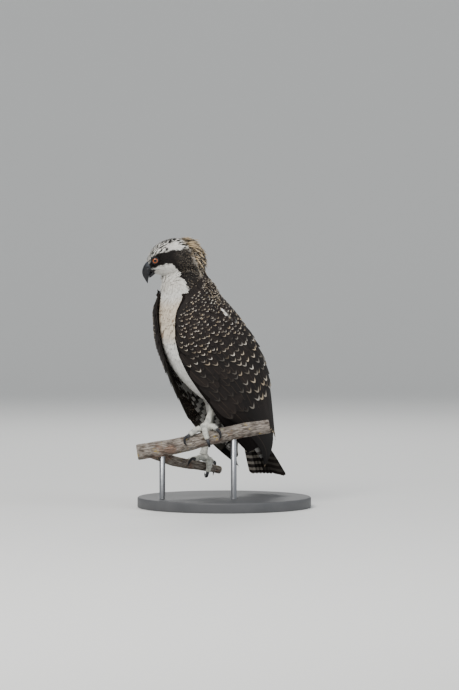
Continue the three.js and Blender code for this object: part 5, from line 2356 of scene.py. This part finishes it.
@dataclass
class Studio:
    """Floor, soft lights and the camera at the photograph's viewing angle."""

    aim: Triple = (0.0214, -0.0086, 0.2806)
    distance: float = 6.59
    azimuth: float = 45.0
    elevation: float = 2.0
    lens: float = 200.0

    def build(self) -> None:
        """Make the stage, the lights and the camera."""
        self._floor()
        world = bpy.context.scene.world or bpy.data.worlds.new("studio")
        bpy.context.scene.world = world
        world.use_nodes = True
        sky = world.node_tree.nodes["Background"].inputs
        sky[0].default_value, sky[1].default_value = (0.80, 0.83, 0.86, 1), 0.62
        self._light("key", (1.1, -2.6, 2.6), 1.6, 132.0, (1.0, 0.98, 0.95))
        self._light("fill", (2.8, 0.6, 1.4), 2.0, 30.0, (0.92, 0.96, 1.0))
        self._light("rim", (-1.8, 1.6, 2.2), 1.2, 34.0, (1.0, 0.99, 0.97))
        self._camera()

    @staticmethod
    def _floor() -> None:
        """Wide floor that sweeps up far behind the bird: flat, then rising as a quarter round."""
        sweep = np.linspace(0.1, math.pi / 2, 14)
        along = np.concatenate([np.linspace(-7, 4, 12), 4 + 3 * np.sin(sweep), [7.0]])
        rise = np.concatenate([np.zeros(12), 3 * (1 - np.cos(sweep)), [9.0]])
        across = np.linspace(-9, 9, 9)
        behind, side = np.array([-1, 1]) * math.sqrt(0.5), np.array([1, 1]) * math.sqrt(0.5)
        flat = along[:, None, None] * behind + across[None, :, None] * side
        upright = rise[:, None, None] + 0 * flat[..., :1]
        points = np.concatenate([flat, upright], axis=-1).reshape(-1, 3) * MILLIMETRES - LIFT
        fabric = Fabric(points, grid_quads(len(along), len(across))[:, ::-1])
        floor = bpy.data.objects.new("floor", fabric.mesh("floor"))
        bpy.context.scene.collection.objects.link(floor)
        floor.data.materials.append(FloorFinish("pale_floor").material())

    def _light(self, name: str, place: Triple, size: float, power: float, colour: Colour) -> None:
        """Add a square soft light that faces the bird.

        Args:
            name: Name of the light.
            place: Where it stands.
            size: Width in metres.
            power: Power in watts.
            colour: Its colour.
        """
        light = bpy.data.lights.new(name, "AREA")
        light.energy, light.size, light.color = power, size, colour
        lamp = bpy.data.objects.new(name, light)
        bpy.context.scene.collection.objects.link(lamp)
        lamp.location = place
        self._face(lamp, np.array(place))

    def _face(self, thing: bpy.types.Object, place: Array) -> None:
        """Turn a light or camera towards the aim."""
        away = unit(place - np.array(self.aim))
        thing.rotation_euler = (math.acos(away[2]), 0, math.atan2(away[0], -away[1]))

    def _camera(self) -> None:
        """Long lens at the photograph's angle."""
        camera = bpy.data.objects.new("camera", bpy.data.cameras.new("camera"))
        bpy.context.scene.collection.objects.link(camera)
        camera.data.lens, camera.data.clip_end = self.lens, 60
        camera.data.sensor_fit, camera.data.sensor_height = "VERTICAL", 36
        turn, rise = self.azimuth * DEGREE, self.elevation * DEGREE
        level = math.cos(rise)
        way = np.array([math.sin(turn) * level, -math.cos(turn) * level, math.sin(rise)])
        place = np.array(self.aim) + way * self.distance
        camera.location = place
        self._face(camera, place)
        bpy.context.scene.camera = camera


def main() -> None:
    """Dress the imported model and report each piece."""
    logging.basicConfig(level=logging.INFO, format="%(name)s %(message)s")
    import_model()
    Studio().build()
    feathers = FeatherFinish("feather").material()
    flight = FeatherFinish(
        "flight_feather", barbs=90.0, shaft=tone(64, 54, 46), shaft_strength=0.4, bars=8.0,
        rim=(0.976, 0.988), hook=0.02,
    ).material()
    down = DownFinish("down").material()
    scales = ScaleFinish("foot_scales").material()
    horn = HornFinish("bill_horn", tone(17, 17, 20), tone(44, 48, 55), (0.12, 0.3)).material()
    claws = HornFinish("claw_horn", tone(24, 24, 27), tone(70, 70, 74), (0.0, 0.3)).material()
    lid = LidFinish("lid_skin").material()
    bark = BarkFinish("weathered_bark").material()
    Coat().build(feathers, down)
    for side in Side:
        Wing(side).build(feathers, flight, down)
        Leg(side).build(feathers, down, scales, claws)
    Tail().build(feathers, flight)
    Face().build(horn, lid)
    Perch().build(bark)
    base = StandFinish("base_paint", tone(56, 57, 60), 0.4).material()
    brushed = (1.0, 1.0, 14.0)
    steel = StandFinish("rod_steel", tone(170, 172, 176), 0.24, 1.0, brushed).material()
    Stand().build(base, steel)


if __name__ == "__main__":
    main()
